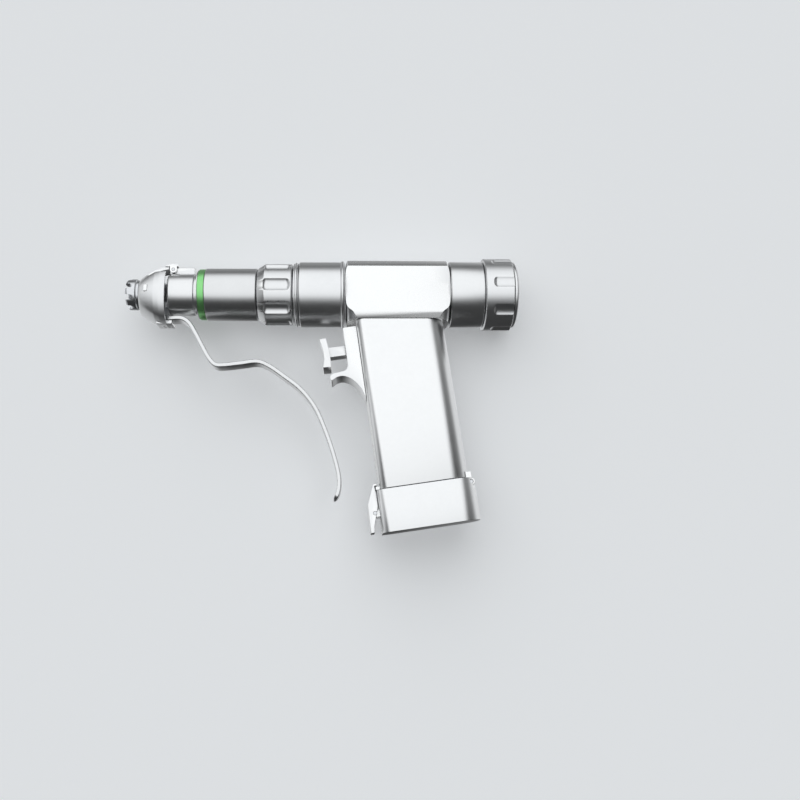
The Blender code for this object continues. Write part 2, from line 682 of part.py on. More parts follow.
socket_rear = carrier_front + 0.6 * MM
base_front = FRONT_BARREL_FRONT - SEAT_GAP
spindle_bearing_radius = 10.2 * MM
seat_depth = BEARING_WIDTH + SEAT_GAP
socket_profile = [
    (SOCKET_RADIUS, SOCKET_FRONT),
    (SOCKET_RADIUS, base_front),
    (BARREL_BORE_RADIUS - SEAT_GAP, base_front),
    (BARREL_BORE_RADIUS - SEAT_GAP, socket_rear),
    (spindle_bearing_radius + SEAT_GAP, socket_rear),
    (spindle_bearing_radius + SEAT_GAP, socket_rear + seat_depth),
    (SPIGOT_RADIUS + RUNNING_GAP, socket_rear + seat_depth),
    (SPIGOT_RADIUS + RUNNING_GAP, SOCKET_FRONT),
]
coupling_socket = turned("coupling_socket", socket_profile, steel, steps=MEDIUM)
key_forward = SOCKET_FRONT - 9.0 * MM
key_hole = turned("key_hole", rod(KEY_WIDTH / 2 + 0.15 * MM, 14 * MM, 8 * MM), steps=TINY,
                  at=(0, 0, key_forward), turn=(0, math.pi / 2, 0))
cut(coupling_socket, key_hole)
locating_pin = rod(KEY_WIDTH / 2, SOCKET_RADIUS - 0.1 * MM, SPIGOT_RADIUS - 1.2 * MM)
turned("locating_pin", locating_pin, steel, steps=TINY, at=(0, 0, key_forward), turn=(0, math.pi / 2, 0))
spindle_race_front = socket_rear + BEARING_WIDTH
spindle_bore = SPINDLE_RADIUS + RUNNING_GAP
spindle_bearing = tube(spindle_bearing_radius, spindle_bore, spindle_race_front, socket_rear)
turned("spindle_bearing", spindle_bearing, steel, steps=MEDIUM)

stop_rear = FRONT_BARREL_FRONT + SEAT_GAP
stop_front = stop_rear + STOP_RING_LENGTH
stop_profile = [
    (STOP_RING_RADIUS, stop_front),
    (STOP_RING_RADIUS, stop_front - 0.7 * MM),
    (STOP_RING_RADIUS + 0.6 * MM, stop_front - 1.0 * MM),
    (STOP_RING_RADIUS + 0.6 * MM, stop_rear + 0.8 * MM),
    (STOP_RING_RADIUS, stop_rear + 0.5 * MM),
    (STOP_RING_RADIUS, stop_rear),
    (SOCKET_RADIUS + SEAT_GAP, stop_rear),
    (SOCKET_RADIUS + SEAT_GAP, stop_front),
]
turned("stop_ring", stop_profile, satin, steps=FINE)

# Fluted lock collar, its spring and the ring that retains it

collar_bore = SOCKET_RADIUS + RUNNING_GAP
collar_counterbore = collar_bore + 2.4 * MM
spring_room = 8.0 * MM
retainer_room = 2.0 * MM
collar_profile = [
    (COLLAR_RADIUS - 2.4 * MM, COLLAR_FRONT),
    (COLLAR_RADIUS - 0.3 * MM, COLLAR_FRONT - COLLAR_CHAMFER),
    (COLLAR_RADIUS, COLLAR_FRONT - COLLAR_CHAMFER - 0.6 * MM),
    (COLLAR_RADIUS, COLLAR_REAR + 0.6 * MM),
    (COLLAR_RADIUS - 0.6 * MM, COLLAR_REAR),
    (collar_counterbore, COLLAR_REAR),
    (collar_counterbore, COLLAR_REAR + spring_room),
    (collar_bore, COLLAR_REAR + spring_room),
    (collar_bore, COLLAR_FRONT - retainer_room),
    (collar_counterbore, COLLAR_FRONT - retainer_room),
    (collar_counterbore, COLLAR_FRONT),
]
lock_collar = turned("lock_collar", collar_profile, satin, steps=FINE)
collar_flutes = flute_cutters(
    "collar_flute",
    COLLAR_RADIUS,
    COLLAR_FLUTE_DEPTH,
    COLLAR_LAND_ANGLE,
    COLLAR_TURN,
    COLLAR_FRONT - COLLAR_CHAMFER + 0.4 * MM,
    COLLAR_REAR + 1.4 * MM,
    2.5 * MM,
)
cut(lock_collar, *collar_flutes)
spring_wire = 0.8 * MM
spring_middle = (SOCKET_RADIUS + collar_counterbore) / 2
spring_rear = COLLAR_REAR + 1.2 * MM
spring_front = COLLAR_REAR + spring_room - 1.0 * MM
coil("collar_spring", spring_middle, spring_wire, 4, spring_rear, spring_front, steel, barrel)
retainer_front = SOCKET_FRONT - 0.2 * MM
retainer_rear = COLLAR_FRONT - 1.7 * MM
retainer = tube(collar_counterbore - SEAT_GAP, SOCKET_RADIUS + SEAT_GAP, retainer_front, retainer_rear)
turned("collar_retainer", retainer, steel, steps=MEDIUM)

# Wire-driver attachment: spigot, sleeve, colour ring and neck

attachment_bearing = 6.8 * MM
spigot_rear = spindle_front + 0.5 * MM
spigot_front = SLEEVE_REAR + 15 * MM
drive_clear = DRIVE_RADIUS + 0.6 * MM
spigot_profile = [
    (SLEEVE_BORE_RADIUS - SEAT_GAP, spigot_front),
    (SLEEVE_BORE_RADIUS - SEAT_GAP, SLEEVE_REAR + 0.3 * MM),
    (SPIGOT_RADIUS, SLEEVE_REAR + 0.3 * MM),
    (SPIGOT_RADIUS, spigot_rear + 0.8 * MM),
    (SPIGOT_RADIUS - 0.8 * MM, spigot_rear),
    (drive_clear, spigot_rear),
    (drive_clear, SLEEVE_REAR + 6 * MM),
    (attachment_bearing + SEAT_GAP, SLEEVE_REAR + 6 * MM),
    (attachment_bearing + SEAT_GAP, spigot_front),
]
spigot = turned("spigot", spigot_profile, steel, steps=MEDIUM)
key_slot = box(
    "key_slot",
    (SPIGOT_RADIUS - 1.7 * MM, -KEY_WIDTH / 2 - 0.2 * MM, spigot_rear - MM),
    (SPIGOT_RADIUS + MM, KEY_WIDTH / 2 + 0.2 * MM, key_forward + 2.5 * MM),
    parent=barrel,
)
cut(spigot, key_slot)

sleeve_profile = [
    (SLEEVE_RADIUS - 0.3 * MM, SLEEVE_FRONT),
    (SLEEVE_RADIUS, SLEEVE_FRONT - 0.3 * MM),
    (SLEEVE_RADIUS, SLEEVE_REAR + 0.5 * MM),
    (SLEEVE_RADIUS - 0.5 * MM, SLEEVE_REAR),
    (SLEEVE_BORE_RADIUS, SLEEVE_REAR),
    (SLEEVE_BORE_RADIUS, SLEEVE_FRONT),
]
turned("attachment_sleeve", sleeve_profile, satin, steps=MEDIUM)

ring_rear = SLEEVE_FRONT + 0.2 * MM
ring_front = ring_rear + COLOUR_RING_WIDTH
colour_ring = tube(COLOUR_RING_RADIUS, NECK_RADIUS + SEAT_GAP, ring_front, ring_rear)
turned("colour_ring", colour_ring, green, steps=MEDIUM)

flange_rear = ring_front + 0.2 * MM
flange_front = flange_rear + NECK_FLANGE_WIDTH
groove_front = flange_front + NECK_GROOVE_WIDTH
bearing_seat = DRIVE_BEARING_RADIUS + SEAT_GAP
bearing_shoulder = NECK_FRONT - 8.5 * MM
spring_bore = 7.4 * MM
neck_profile = [
    (NECK_RADIUS - 1.0 * MM, NECK_FRONT),
    (NECK_RADIUS, NECK_FRONT - 1.0 * MM),
    (NECK_RADIUS, groove_front),
    (NECK_RADIUS - 0.8 * MM, groove_front - 0.4 * MM),
    (NECK_RADIUS - 0.8 * MM, flange_front),
    (COLOUR_RING_RADIUS - 0.5 * MM, flange_front),
    (COLOUR_RING_RADIUS - 0.5 * MM, flange_rear),
    (NECK_RADIUS, flange_rear),
    (NECK_RADIUS, SLEEVE_FRONT + 0.2 * MM),
    (SLEEVE_BORE_RADIUS - SEAT_GAP, SLEEVE_FRONT),
    (SLEEVE_BORE_RADIUS - SEAT_GAP, spigot_front + SEAT_GAP),
    (bearing_seat, spigot_front + SEAT_GAP),
    (bearing_seat, bearing_shoulder),
    (spring_bore, bearing_shoulder),
    (spring_bore, NECK_FRONT),
]
neck = turned("attachment_neck", neck_profile, satin, steps=MEDIUM)
rib_top = NECK_RADIUS + RIB_HEIGHT
rib_rear = groove_front + 0.2 * MM
rib = box(
    "pivot_rib",
    (NECK_RADIUS - 1.5 * MM, -RIB_HALF_WIDTH, rib_rear),
    (rib_top, RIB_HALF_WIDTH, NECK_FRONT - 0.2 * MM),
    parent=barrel,
    bevel=0.5 * MM,
)
rib_hole = cross_rod("rib_hole", 0, 0, PIVOT_PIN_RADIUS + 0.15 * MM, RIB_HALF_WIDTH + MM, steps=TINY)
rib_hole.parent = barrel
rib_hole.location = (PIVOT_UP, 0, PIVOT_FORWARD)
fuse(neck, rib)
cut(neck, rib_hole)

# Hollow drive shaft with a hex tail, its bearings, collet, sleeve and castellated nut

tail_rear = spindle_rear + 1.0 * MM
tail_front = spigot_rear + 0.3 * MM
shaft_end = CROWN_REAR + 2.4 * MM
shaft_profile = tube(DRIVE_RADIUS, WIRE_BORE_RADIUS, shaft_end, tail_front - 0.5 * MM)
drive_shaft = turned("drive_shaft", shaft_profile, steel, steps=SMALL)
tail_middle = Matrix.Translation((0, 0, (tail_front + tail_rear) / 2))
tail_outline = [hexagon(HEX_ACROSS_FLATS), circle(WIRE_BORE_RADIUS)]
tail_mesh = outline_mesh("hex_tail", tail_outline, (tail_front - tail_rear) / 2, tail_middle)
fuse(drive_shaft, add("hex_tail", tail_mesh, parent=barrel))
rear_race = tube(attachment_bearing, DRIVE_RADIUS + RUNNING_GAP, BEARING_WIDTH, 0)
turned("attachment_rear_bearing", rear_race, steel, steps=SMALL, at=(0, 0, SLEEVE_REAR + 6.3 * MM))
front_race = tube(DRIVE_BEARING_RADIUS, DRIVE_RADIUS + RUNNING_GAP, BEARING_WIDTH, 0)
front_race_rear = bearing_shoulder - SEAT_GAP - BEARING_WIDTH
turned("attachment_front_bearing", front_race, steel, steps=SMALL, at=(0, 0, front_race_rear))

sleeve_rear = NECK_FRONT + 2.8 * MM
collet_flange_radius = 10.2 * MM
collet_sleeve_radius = 7.0 * MM
collet_sleeve_bore = DRIVE_RADIUS + RUNNING_GAP
collet_flange_rear = sleeve_rear + 5.6 * MM
collet_flange_front = collet_flange_rear + 1.6 * MM
collet_sleeve_profile = [
    (collet_flange_radius, collet_flange_front),
    (collet_flange_radius, collet_flange_rear),
    (collet_sleeve_radius, collet_flange_rear),
    (collet_sleeve_radius, sleeve_rear),
    (collet_sleeve_bore, sleeve_rear),
    (collet_sleeve_bore, collet_flange_front),
]
turned("collet_sleeve", collet_sleeve_profile, steel, steps=MEDIUM)
return_radius = 6.1 * MM
return_wire = 0.9 * MM
return_rear = bearing_shoulder + MM
return_front = sleeve_rear - 0.8 * MM
coil("lever_return_spring", return_radius, return_wire, 4, return_rear, return_front, steel, barrel)

collet_radius = 5.0 * MM
crown_bore = collet_radius + 0.4 * MM
crown_profile = [
    (CROWN_RADIUS - 0.7 * MM, CROWN_FRONT),
    (CROWN_RADIUS, CROWN_FRONT - 1.2 * MM),
    (CROWN_RADIUS, CROWN_REAR + 2.0 * MM),
    (CROWN_RADIUS - 0.7 * MM, CROWN_REAR + 1.4 * MM),
    (CROWN_RADIUS - 0.7 * MM, CROWN_REAR),
    (DRIVE_RADIUS + RUNNING_GAP, CROWN_REAR),
    (DRIVE_RADIUS + RUNNING_GAP, shaft_end + 0.5 * MM),
    (crown_bore, shaft_end + 0.5 * MM),
    (crown_bore, CROWN_FRONT - 1.2 * MM),
    (crown_bore + 1.0 * MM, CROWN_FRONT),
]
crown_nut = turned("crown_nut", crown_profile, steel, steps=MEDIUM)
notch_floor = CROWN_FRONT - CROWN_NOTCH_DEPTH + CROWN_NOTCH_WIDTH / 2
notch_turn = SIDE_TO_BARREL @ Matrix.Rotation(math.pi / 2, 4, "X")
for number in range(FLUTE_COUNT // 2):
    angle = CROWN_TURN + math.pi * (number + 0.5) / (FLUTE_COUNT // 2)
    half = CROWN_NOTCH_WIDTH / 2
    slot = arc(notch_floor, 0, half, 90, 270, 6) + [(CROWN_FRONT + MM, -half), (CROWN_FRONT + MM, half)]
    slot_mesh = outline_mesh("crown_notch", [slot[::-1]], CROWN_RADIUS + MM, notch_turn)
    notch = add(f"crown_notch_{number + 1}", slot_mesh, parent=barrel, turn=(0, 0, angle))
    cut(crown_nut, notch)
collet_profile = [
    (collet_radius - 1.0 * MM, CROWN_FRONT - 0.8 * MM),
    (collet_radius, CROWN_FRONT - 1.8 * MM),
    (collet_radius, shaft_end + 0.8 * MM),
    (WIRE_BORE_RADIUS, shaft_end + 0.8 * MM),
    (WIRE_BORE_RADIUS, CROWN_FRONT - 0.8 * MM),
]
collet = turned("collet", collet_profile, steel, steps=SMALL)
slit_half = 0.25 * MM
for number in range(COLLET_SLITS):
    angle = 2 * math.pi * number / COLLET_SLITS
    slit_low = (0.5 * MM, -slit_half, shaft_end + 1.8 * MM)
    slit_high = (collet_radius + MM, slit_half, CROWN_FRONT + MM)
    slit = box(f"collet_slit_{number + 1}", slit_low, slit_high, parent=barrel)
    slit.rotation_euler = (0, 0, angle)
    cut(collet, slit)

# Yoke on its pivot: a coned shell cut away to two cheeks and a top strap

pivot = empty("lever_pivot", barrel, (PIVOT_UP, 0, PIVOT_FORWARD))
on_pivot = (-PIVOT_UP, 0, -PIVOT_FORWARD)
yoke_length = YOKE_FRONT - YOKE_REAR
yoke_steps = [(rise, back) for back, rise in YOKE_SHAPE if back * MM < yoke_length]
yoke_outer = [(NECK_RADIUS + rise * MM, YOKE_FRONT - back * MM) for rise, back in yoke_steps]
rear_radius = NECK_RADIUS + YOKE_SHAPE[-1][1] * MM
yoke_outer.append((rear_radius, YOKE_REAR))
yoke_inner = [(radius - YOKE_WALL, forward) for radius, forward in yoke_outer[::-1]]
yoke = turned("lever_yoke", yoke_outer + yoke_inner, satin, pivot, MEDIUM)
yoke.location = (-PIVOT_UP - YOKE_DROP, 0, -PIVOT_FORWARD)
cheek_top = NECK_RADIUS - 2.1 * MM
cheek_nose = 142.8 * MM
cheek_clear = 24 * MM
cheek_slope = [
    (cheek_nose, 7.2 * MM),
    (137.4 * MM, cheek_top),
    (120 * MM, cheek_top),
    (120 * MM, cheek_clear),
    (cheek_nose, cheek_clear),
]
shoulder_depth = 10 * MM
for side, label in ((-1, "near"), (1, "far")):
    shoulder_mesh = outline_mesh("yoke_shoulder", [cheek_slope], shoulder_depth, SIDE_TO_BARREL)
    place = (on_pivot[0], side * (STRAP_HALF_WIDTH + shoulder_depth), on_pivot[2])
    cut(yoke, add(f"yoke_shoulder_{label}", shoulder_mesh, parent=pivot, at=place))
ear_outline = arc(0, 0, EAR_RADIUS, -180, 0, 8) + [(EAR_RADIUS, 2.9 * MM), (-EAR_RADIUS, 2.9 * MM)]
for side, label in ((-1, "near"), (1, "far")):
    ear_mesh = outline_mesh("yoke_ear", [ear_outline], 0.7 * MM, SIDE_TO_BARREL)
    ear_place = (0, side * (RIB_HALF_WIDTH + 1.1 * MM), 0)
    fuse(yoke, add(f"yoke_ear_{label}", ear_mesh, parent=pivot, at=ear_place))
strap_top = rib_top + 1.5 * MM
strap_bottom = rib_top + 0.3 * MM
strap = box(
    "yoke_strap",
    (strap_bottom - PIVOT_UP, -RIB_HALF_WIDTH - 1.8 * MM, -2.6 * MM),
    (strap_top - PIVOT_UP, RIB_HALF_WIDTH + 1.8 * MM, YOKE_REAR - PIVOT_FORWARD + 1.5 * MM),
    parent=pivot,
)
fuse(yoke, strap)
seat_top = -NECK_RADIUS - 4.6 * MM
seat_pad = box(
    "lever_seat",
    (seat_top - SEAT_THICKNESS - PIVOT_UP, -LEVER_HALF_WIDTH, YOKE_REAR - 3.0 * MM - PIVOT_FORWARD),
    (seat_top - PIVOT_UP, LEVER_HALF_WIDTH, YOKE_REAR + 6.0 * MM - PIVOT_FORWARD),
    parent=pivot,
)
fuse(yoke, seat_pad)
thumb_half_height = 2.0 * MM
thumb_reach = (7.6 * MM, 13.2 * MM)
thumb_rear = collet_flange_rear + 2.0 * MM - PIVOT_FORWARD
thumb_front = collet_flange_rear + 4.2 * MM - PIVOT_FORWARD
for side, label in ((-1, "near"), (1, "far")):
    low_y, high_y = sorted(side * reach for reach in thumb_reach)
    thumb_low = (-thumb_half_height - PIVOT_UP, low_y, thumb_rear)
    thumb_high = (thumb_half_height - PIVOT_UP, high_y, thumb_front)
    fuse(yoke, box(f"yoke_thumb_{label}", thumb_low, thumb_high, parent=pivot))
pivot_bore = PIVOT_PIN_RADIUS + RUNNING_GAP
pivot_hole = cross_rod("pivot_hole", 0, 0, pivot_bore, RIB_HALF_WIDTH + 4 * MM, steps=TINY)
pivot_hole.parent = pivot
pivot_reach = RIB_HALF_WIDTH + 1.9 * MM
pivot_pin = cross_rod("lever_pivot_pin", 0, 0, PIVOT_PIN_RADIUS, pivot_reach, steel, steps=TINY)
pivot_pin.parent = pivot
cut(yoke, pivot_hole)

# Squeeze lever: a flat bar bent along a smooth route of (forward, up) points

def smooth_route(points, pieces=3):
    """A smooth curve through the points"""
    ends = [points[0], *points, points[-1]]
    route = []
    for before, start, end, after in zip(ends, ends[1:], ends[2:], ends[3:]):
        p0, p1, p2, p3 = (Vector(p) for p in (before, start, end, after))
        for step in range(pieces):
            t = step / pieces
            bend = (2 * p0 - 5 * p1 + 4 * p2 - p3) * t * t + (3 * p1 - p0 - 3 * p2 + p3) * t**3
            route.append((2 * p1 + (p2 - p0) * t + bend) / 2)
    return [*route, Vector(points[-1])]


def bar_outline(route, thickness):
    """Both edges of a bar that follows a route"""
    near, far = [], []
    for i, point in enumerate(route):
        along = (route[min(i + 1, len(route) - 1)] - route[max(i - 1, 0)]).normalized()
        side = Vector((-along.y, along.x)) * thickness / 2
        near.append(tuple(point + side))
        far.append(tuple(point - side))
    return near + far[::-1]


route = smooth_route([(forward * MM, up * MM - NECK_RADIUS) for forward, up in LEVER_ROUTE])
lever_outline = bar_outline(route, LEVER_THICKNESS)
lever_mesh = outline_mesh("squeeze_lever", [lever_outline], LEVER_HALF_WIDTH, SIDE_TO_BARREL)
squeeze_lever = add("squeeze_lever", lever_mesh, satin, pivot, on_pivot)
across = (0, math.pi / 2, 0)
hole_profile = rod(RIVET_RADIUS + 0.15 * MM, 0.3 * MM, -8.2 * MM)
rivet_profile = [
    (0, -1.1 * MM),
    (RIVET_RADIUS + 0.5 * MM, -1.2 * MM),
    (RIVET_RADIUS + 0.5 * MM, -1.55 * MM),
    (RIVET_RADIUS, -1.55 * MM),
    (RIVET_RADIUS, -6.3 * MM),
    (0, -6.3 * MM),
]
for number, forward in enumerate(RIVET_PLACES):
    at = (on_pivot[0] - NECK_RADIUS, 0, on_pivot[2] + forward)
    hole = turned(f"rivet_hole_{number + 1}", hole_profile, parent=pivot, steps=TINY, at=at, turn=across)
    cut(squeeze_lever, hole)
    cut(yoke, hole)
    turned(f"lever_rivet_{number + 1}", rivet_profile, steel, pivot, TINY, at, across)

# Grip shell: a hollow section cut off under the block, with hinge lugs and a catch

grip_corners = (GRIP_FRONT_CORNER, GRIP_REAR_CORNER)
grip_section = rounded_section(GRIP_FRONT, GRIP_REAR, GRIP_HALF_WIDTH, *grip_corners)
grip_inside = rounded_section(
    GRIP_FRONT + GRIP_WALL,
    GRIP_REAR - GRIP_WALL,
    GRIP_HALF_WIDTH - GRIP_WALL,
    GRIP_FRONT_CORNER - GRIP_WALL,
    GRIP_REAR_CORNER - GRIP_WALL,
)
seam = COVER_HEIGHT + SEAM_GAP
grip_shell = slab("grip_shell", grip_section, seam, GRIP_TOP, satin, holes=[grip_inside])
above_grip = box(
    "above_grip",
    (-BLOCK_BOTTOM - SEAT_GAP, -30 * MM, -60 * MM),
    (30 * MM, 30 * MM, 60 * MM),
    parent=barrel,
)
stem_opening = box(
    "stem_opening",
    (GRIP_FRONT - MM, -STEM_HALF_WIDTH - 1.5 * MM, TRIGGER_Z - STEM_HALF_HEIGHT - 1.5 * MM),
    (GRIP_FRONT + GRIP_WALL + MM, STEM_HALF_WIDTH + 1.5 * MM, TRIGGER_Z + STEM_HALF_HEIGHT + 1.5 * MM),
)
cut(grip_shell, above_grip, stem_opening)
catch = box(
    "latch_catch",
    (GRIP_FRONT - 2.2 * MM, -LATCH_HALF_WIDTH + 1.5 * MM, seam + 0.2 * MM),
    (GRIP_FRONT + MM, LATCH_HALF_WIDTH - 1.5 * MM, seam + 2.2 * MM),
)
fuse(grip_shell, catch)
lug_clear = 0.3 * MM
hinge_place = (HINGE_X, 0, HINGE_Z)
for side, label in ((-1, "near"), (1, "far")):
    ends = sorted((side * (KNUCKLE_HALF_WIDTH + lug_clear), side * HINGE_HALF_WIDTH))
    knuckle = rod(KNUCKLE_RADIUS, ends[1], ends[0])
    turn = (-math.pi / 2, 0, 0)
    lug = turned(f"grip_knuckle_{label}", knuckle, parent=None, steps=SMALL, at=hinge_place, turn=turn)
    fuse(grip_shell, lug)
    web_low = (GRIP_REAR - GRIP_WALL, ends[0], HINGE_Z - 0.4 * MM)
    web_high = (HINGE_X + 0.4 * MM, ends[1], seam + 3.0 * MM)
    fuse(grip_shell, box(f"grip_knuckle_web_{label}", web_low, web_high))
hinge_bore = HINGE_PIN_RADIUS + RUNNING_GAP
pin_hole = cross_rod("cover_pin_hole", HINGE_X, HINGE_Z, hinge_bore, 12 * MM, steps=TINY)
cut(grip_shell, pin_hole)

# Battery pack, its contacts and the electronics above it

pack_front = GRIP_FRONT + GRIP_WALL + 2.0 * MM
pack_rear = GRIP_REAR - GRIP_WALL - 0.5 * MM
pack_top = TRIGGER_Z - 23.0 * MM
pack_bottom = COVER_FLOOR + 2.4 * MM
pack_half = GRIP_HALF_WIDTH - GRIP_WALL - 0.4 * MM
pack_front_corner = 2.5 * MM
pack_rear_corner = GRIP_REAR_CORNER - GRIP_WALL - 0.5 * MM
pack_section = rounded_section(pack_front, pack_rear, pack_half, pack_front_corner, pack_rear_corner)
slab("battery_pack", pack_section, pack_bottom, pack_top, wrap)
contact_top = pack_top + 5.3 * MM
contact_section = rounded_section(
    GRIP_FRONT + GRIP_WALL + 0.4 * MM,
    GRIP_REAR - GRIP_WALL - 0.4 * MM,
    pack_half,
    pack_front_corner,
    GRIP_REAR_CORNER - GRIP_WALL - 0.4 * MM,
)
slab("contact_block", contact_section, pack_top + 0.5 * MM, contact_top, plastic)
blade_half_length = 6 * MM
blade_half_width = 1.5 * MM
for number, y in enumerate((-6 * MM, 6 * MM)):
    low = (-blade_half_length, y - blade_half_width, contact_top + SEAT_GAP)
    high = (blade_half_length, y + blade_half_width, contact_top + 3.8 * MM)
    box(f"contact_blade_{number + 1}", low, high, brass, bevel=0.4 * MM)
board_low = (10 * MM, -pack_half + 2 * MM, contact_top + SEAT_GAP)
box("control_board", board_low, (11.6 * MM, pack_half - 2 * MM, TRIGGER_Z + 6 * MM), board)
switch_low = (-15.6 * MM, -7 * MM, TRIGGER_Z - 7 * MM)
switch_high = (board_low[0] - SEAT_GAP, 7 * MM, TRIGGER_Z + 7 * MM)
switch_module = box("switch_module", switch_low, switch_high, plastic, bevel=0.6 * MM)
plunger_well = rod(PLUNGER_RADIUS + 0.3 * MM, 6 * MM, -20 * MM)
trigger_turn = (0, math.pi / 2, 0)
well_place = (0, 0, TRIGGER_Z)
well = turned("plunger_well", plunger_well, parent=None, steps=SMALL, at=well_place, turn=trigger_turn)
cut(switch_module, well)

# Trigger housing: its outline from the side ends below in the finger horn

guard_outline = [(x * MM, TRIGGER_Z + z * MM) for x, z in GUARD_OUTLINE]
guard_mesh = outline_mesh("trigger_housing", [guard_outline[::-1]], GUARD_HALF_WIDTH, SIDE_TO_WORLD)
trigger_housing = add("trigger_housing", guard_mesh, satin)
bush_half_width = STEM_HALF_WIDTH + BUSH_WALL
bush_half_height = STEM_HALF_HEIGHT + BUSH_WALL
passage_half_width = bush_half_width + 0.3 * MM
passage_half_height = bush_half_height + 0.3 * MM
guard_passage = box(
    "guard_passage",
    (GUARD_FRONT - MM, -passage_half_width, TRIGGER_Z - passage_half_height),
    (GRIP_FRONT + MM, passage_half_width, TRIGGER_Z + passage_half_height),
)
cut(trigger_housing, guard_passage)


def rectangle(half_width, half_height):
    return [
        (-half_width, -half_height),
        (half_width, -half_height),
        (half_width, half_height),
        (-half_width, half_height),
    ]


bush_outline = [
    rectangle(bush_half_width, bush_half_height),
    rectangle(STEM_HALF_WIDTH + 0.15 * MM, STEM_HALF_HEIGHT + 0.15 * MM),
]
bush_turn = Matrix(((0, 0, 1), (1, 0, 0), (0, 1, 0))).to_4x4()
bush_middle = Matrix.Translation((GUARD_FRONT + 1.0 * MM + BUSH_LENGTH / 2, 0, TRIGGER_Z))
bush_mesh = outline_mesh("trigger_bush", bush_outline, BUSH_LENGTH / 2, bush_middle @ bush_turn)
add("trigger_bush", bush_mesh, plastic)

# Trigger: a concave finger plate on a flat stem with a round plunger

trigger_slide = empty("trigger_slide", at=(0, 0, TRIGGER_Z))
trigger_place = (0, 0, -TRIGGER_Z)
plate_outline = [(x * MM, TRIGGER_Z + z * MM) for x, z in TRIGGER_OUTLINE]
trigger_mesh = outline_mesh("trigger", [plate_outline[::-1]], TRIGGER_HALF_WIDTH, SIDE_TO_WORLD)
trigger = add("trigger", trigger_mesh, satin, trigger_slide, trigger_place)
stem = box(
    "trigger_stem",
    (-43.2 * MM, -STEM_HALF_WIDTH, -STEM_HALF_HEIGHT),
    (PLUNGER_SHOULDER, STEM_HALF_WIDTH, STEM_HALF_HEIGHT),
    parent=trigger_slide,
)
plunger_rod = rod(PLUNGER_RADIUS, -11.5 * MM, PLUNGER_SHOULDER - MM)
plunger = turned("trigger_plunger", plunger_rod, parent=trigger_slide, steps=SMALL, turn=trigger_turn)
fuse(trigger, stem, plunger)
trigger_spring_radius = 2.9 * MM
trigger_wire = 0.8 * MM
coil_start = PLUNGER_SHOULDER + trigger_wire
coil_end = switch_low[0] - trigger_wire
coil("trigger_spring", trigger_spring_radius, trigger_wire, 5, coil_start, coil_end, steel, trigger_slide,
     turn=trigger_turn)

# Battery cover: a cup with a hinge at the rear and a gasket round its rim

cover_hinge = empty("cover_hinge", at=(HINGE_X, 0, HINGE_Z))
cover_place = (-HINGE_X, 0, -HINGE_Z)
cover_section = rounded_section(COVER_FRONT, COVER_REAR, COVER_HALF_WIDTH, *grip_corners)
cover_inside = rounded_section(
    COVER_FRONT + COVER_WALL,
    COVER_REAR - COVER_WALL,
    COVER_HALF_WIDTH - COVER_WALL,
    GRIP_FRONT_CORNER - COVER_WALL,
    GRIP_REAR_CORNER - COVER_WALL,
)
battery_cover = slab("battery_cover", cover_section, 0, COVER_HEIGHT, satin, cover_hinge)
battery_cover.location = cover_place
cover_cavity = slab("cover_cavity", cover_inside, COVER_FLOOR, COVER_HEIGHT + MM)
hinge_notch = box(
    "hinge_notch",
    (COVER_REAR - 5.6 * MM, -HINGE_HALF_WIDTH - 0.5 * MM, HINGE_Z - 3.6 * MM),
    (COVER_REAR + MM, HINGE_HALF_WIDTH + 0.5 * MM, COVER_HEIGHT + MM),
)
cut(battery_cover, cover_cavity, hinge_notch)
cover_knuckle = rod(KNUCKLE_RADIUS, KNUCKLE_HALF_WIDTH, -KNUCKLE_HALF_WIDTH)
across_hinge = (math.pi / 2, 0, 0)
knuckle = turned("cover_knuckle", cover_knuckle, None, None, SMALL, hinge_place, across_hinge)
fuse(battery_cover, knuckle)
web = box(
    "cover_knuckle_web",
    (COVER_REAR - COVER_WALL, -KNUCKLE_HALF_WIDTH, HINGE_Z - 5 * MM),
    (COVER_REAR - 0.1 * MM, KNUCKLE_HALF_WIDTH, HINGE_Z),
)
fuse(battery_cover, web)
latch_ear_y = LATCH_HALF_WIDTH - 4.0 * MM
latch_bore = LATCH_PIN_RADIUS + RUNNING_GAP
latch_pin_hole = cross_rod("latch_pin_hole", LATCH_PIVOT_X, LATCH_PIVOT_Z, latch_bore, 10 * MM, steps=TINY)
for side, label in ((-1, "near"), (1, "far")):
    low_y = side * latch_ear_y - 1.2 * MM
    ear = box(
        f"latch_ear_{label}",
        (LATCH_PIVOT_X - 1.9 * MM, low_y, LATCH_PIVOT_Z - 2.2 * MM),
        (COVER_FRONT + 0.5 * MM, low_y + 2.4 * MM, LATCH_PIVOT_Z + 2.2 * MM),
        bevel=0.4 * MM,
    )
    fuse(battery_cover, ear)
cut(battery_cover, pin_hole, latch_pin_hole)
pin_reach = HINGE_HALF_WIDTH - 0.4 * MM
hinge_pin = cross_rod("cover_hinge_pin", 0, 0, HINGE_PIN_RADIUS, pin_reach, steel, steps=TINY)
hinge_pin.parent = cover_hinge

pad_section = rounded_section(pack_front, pack_rear - MM, pack_half - MM, 2.5 * MM, 7 * MM, 3)
pad = slab("battery_pad", pad_section, COVER_FLOOR + SEAT_GAP, pack_bottom - SEAT_GAP, rubber, cover_hinge)
pad.location = cover_place

# Latch: a rocker plate on the front of the cover whose nose hooks over the grip's catch

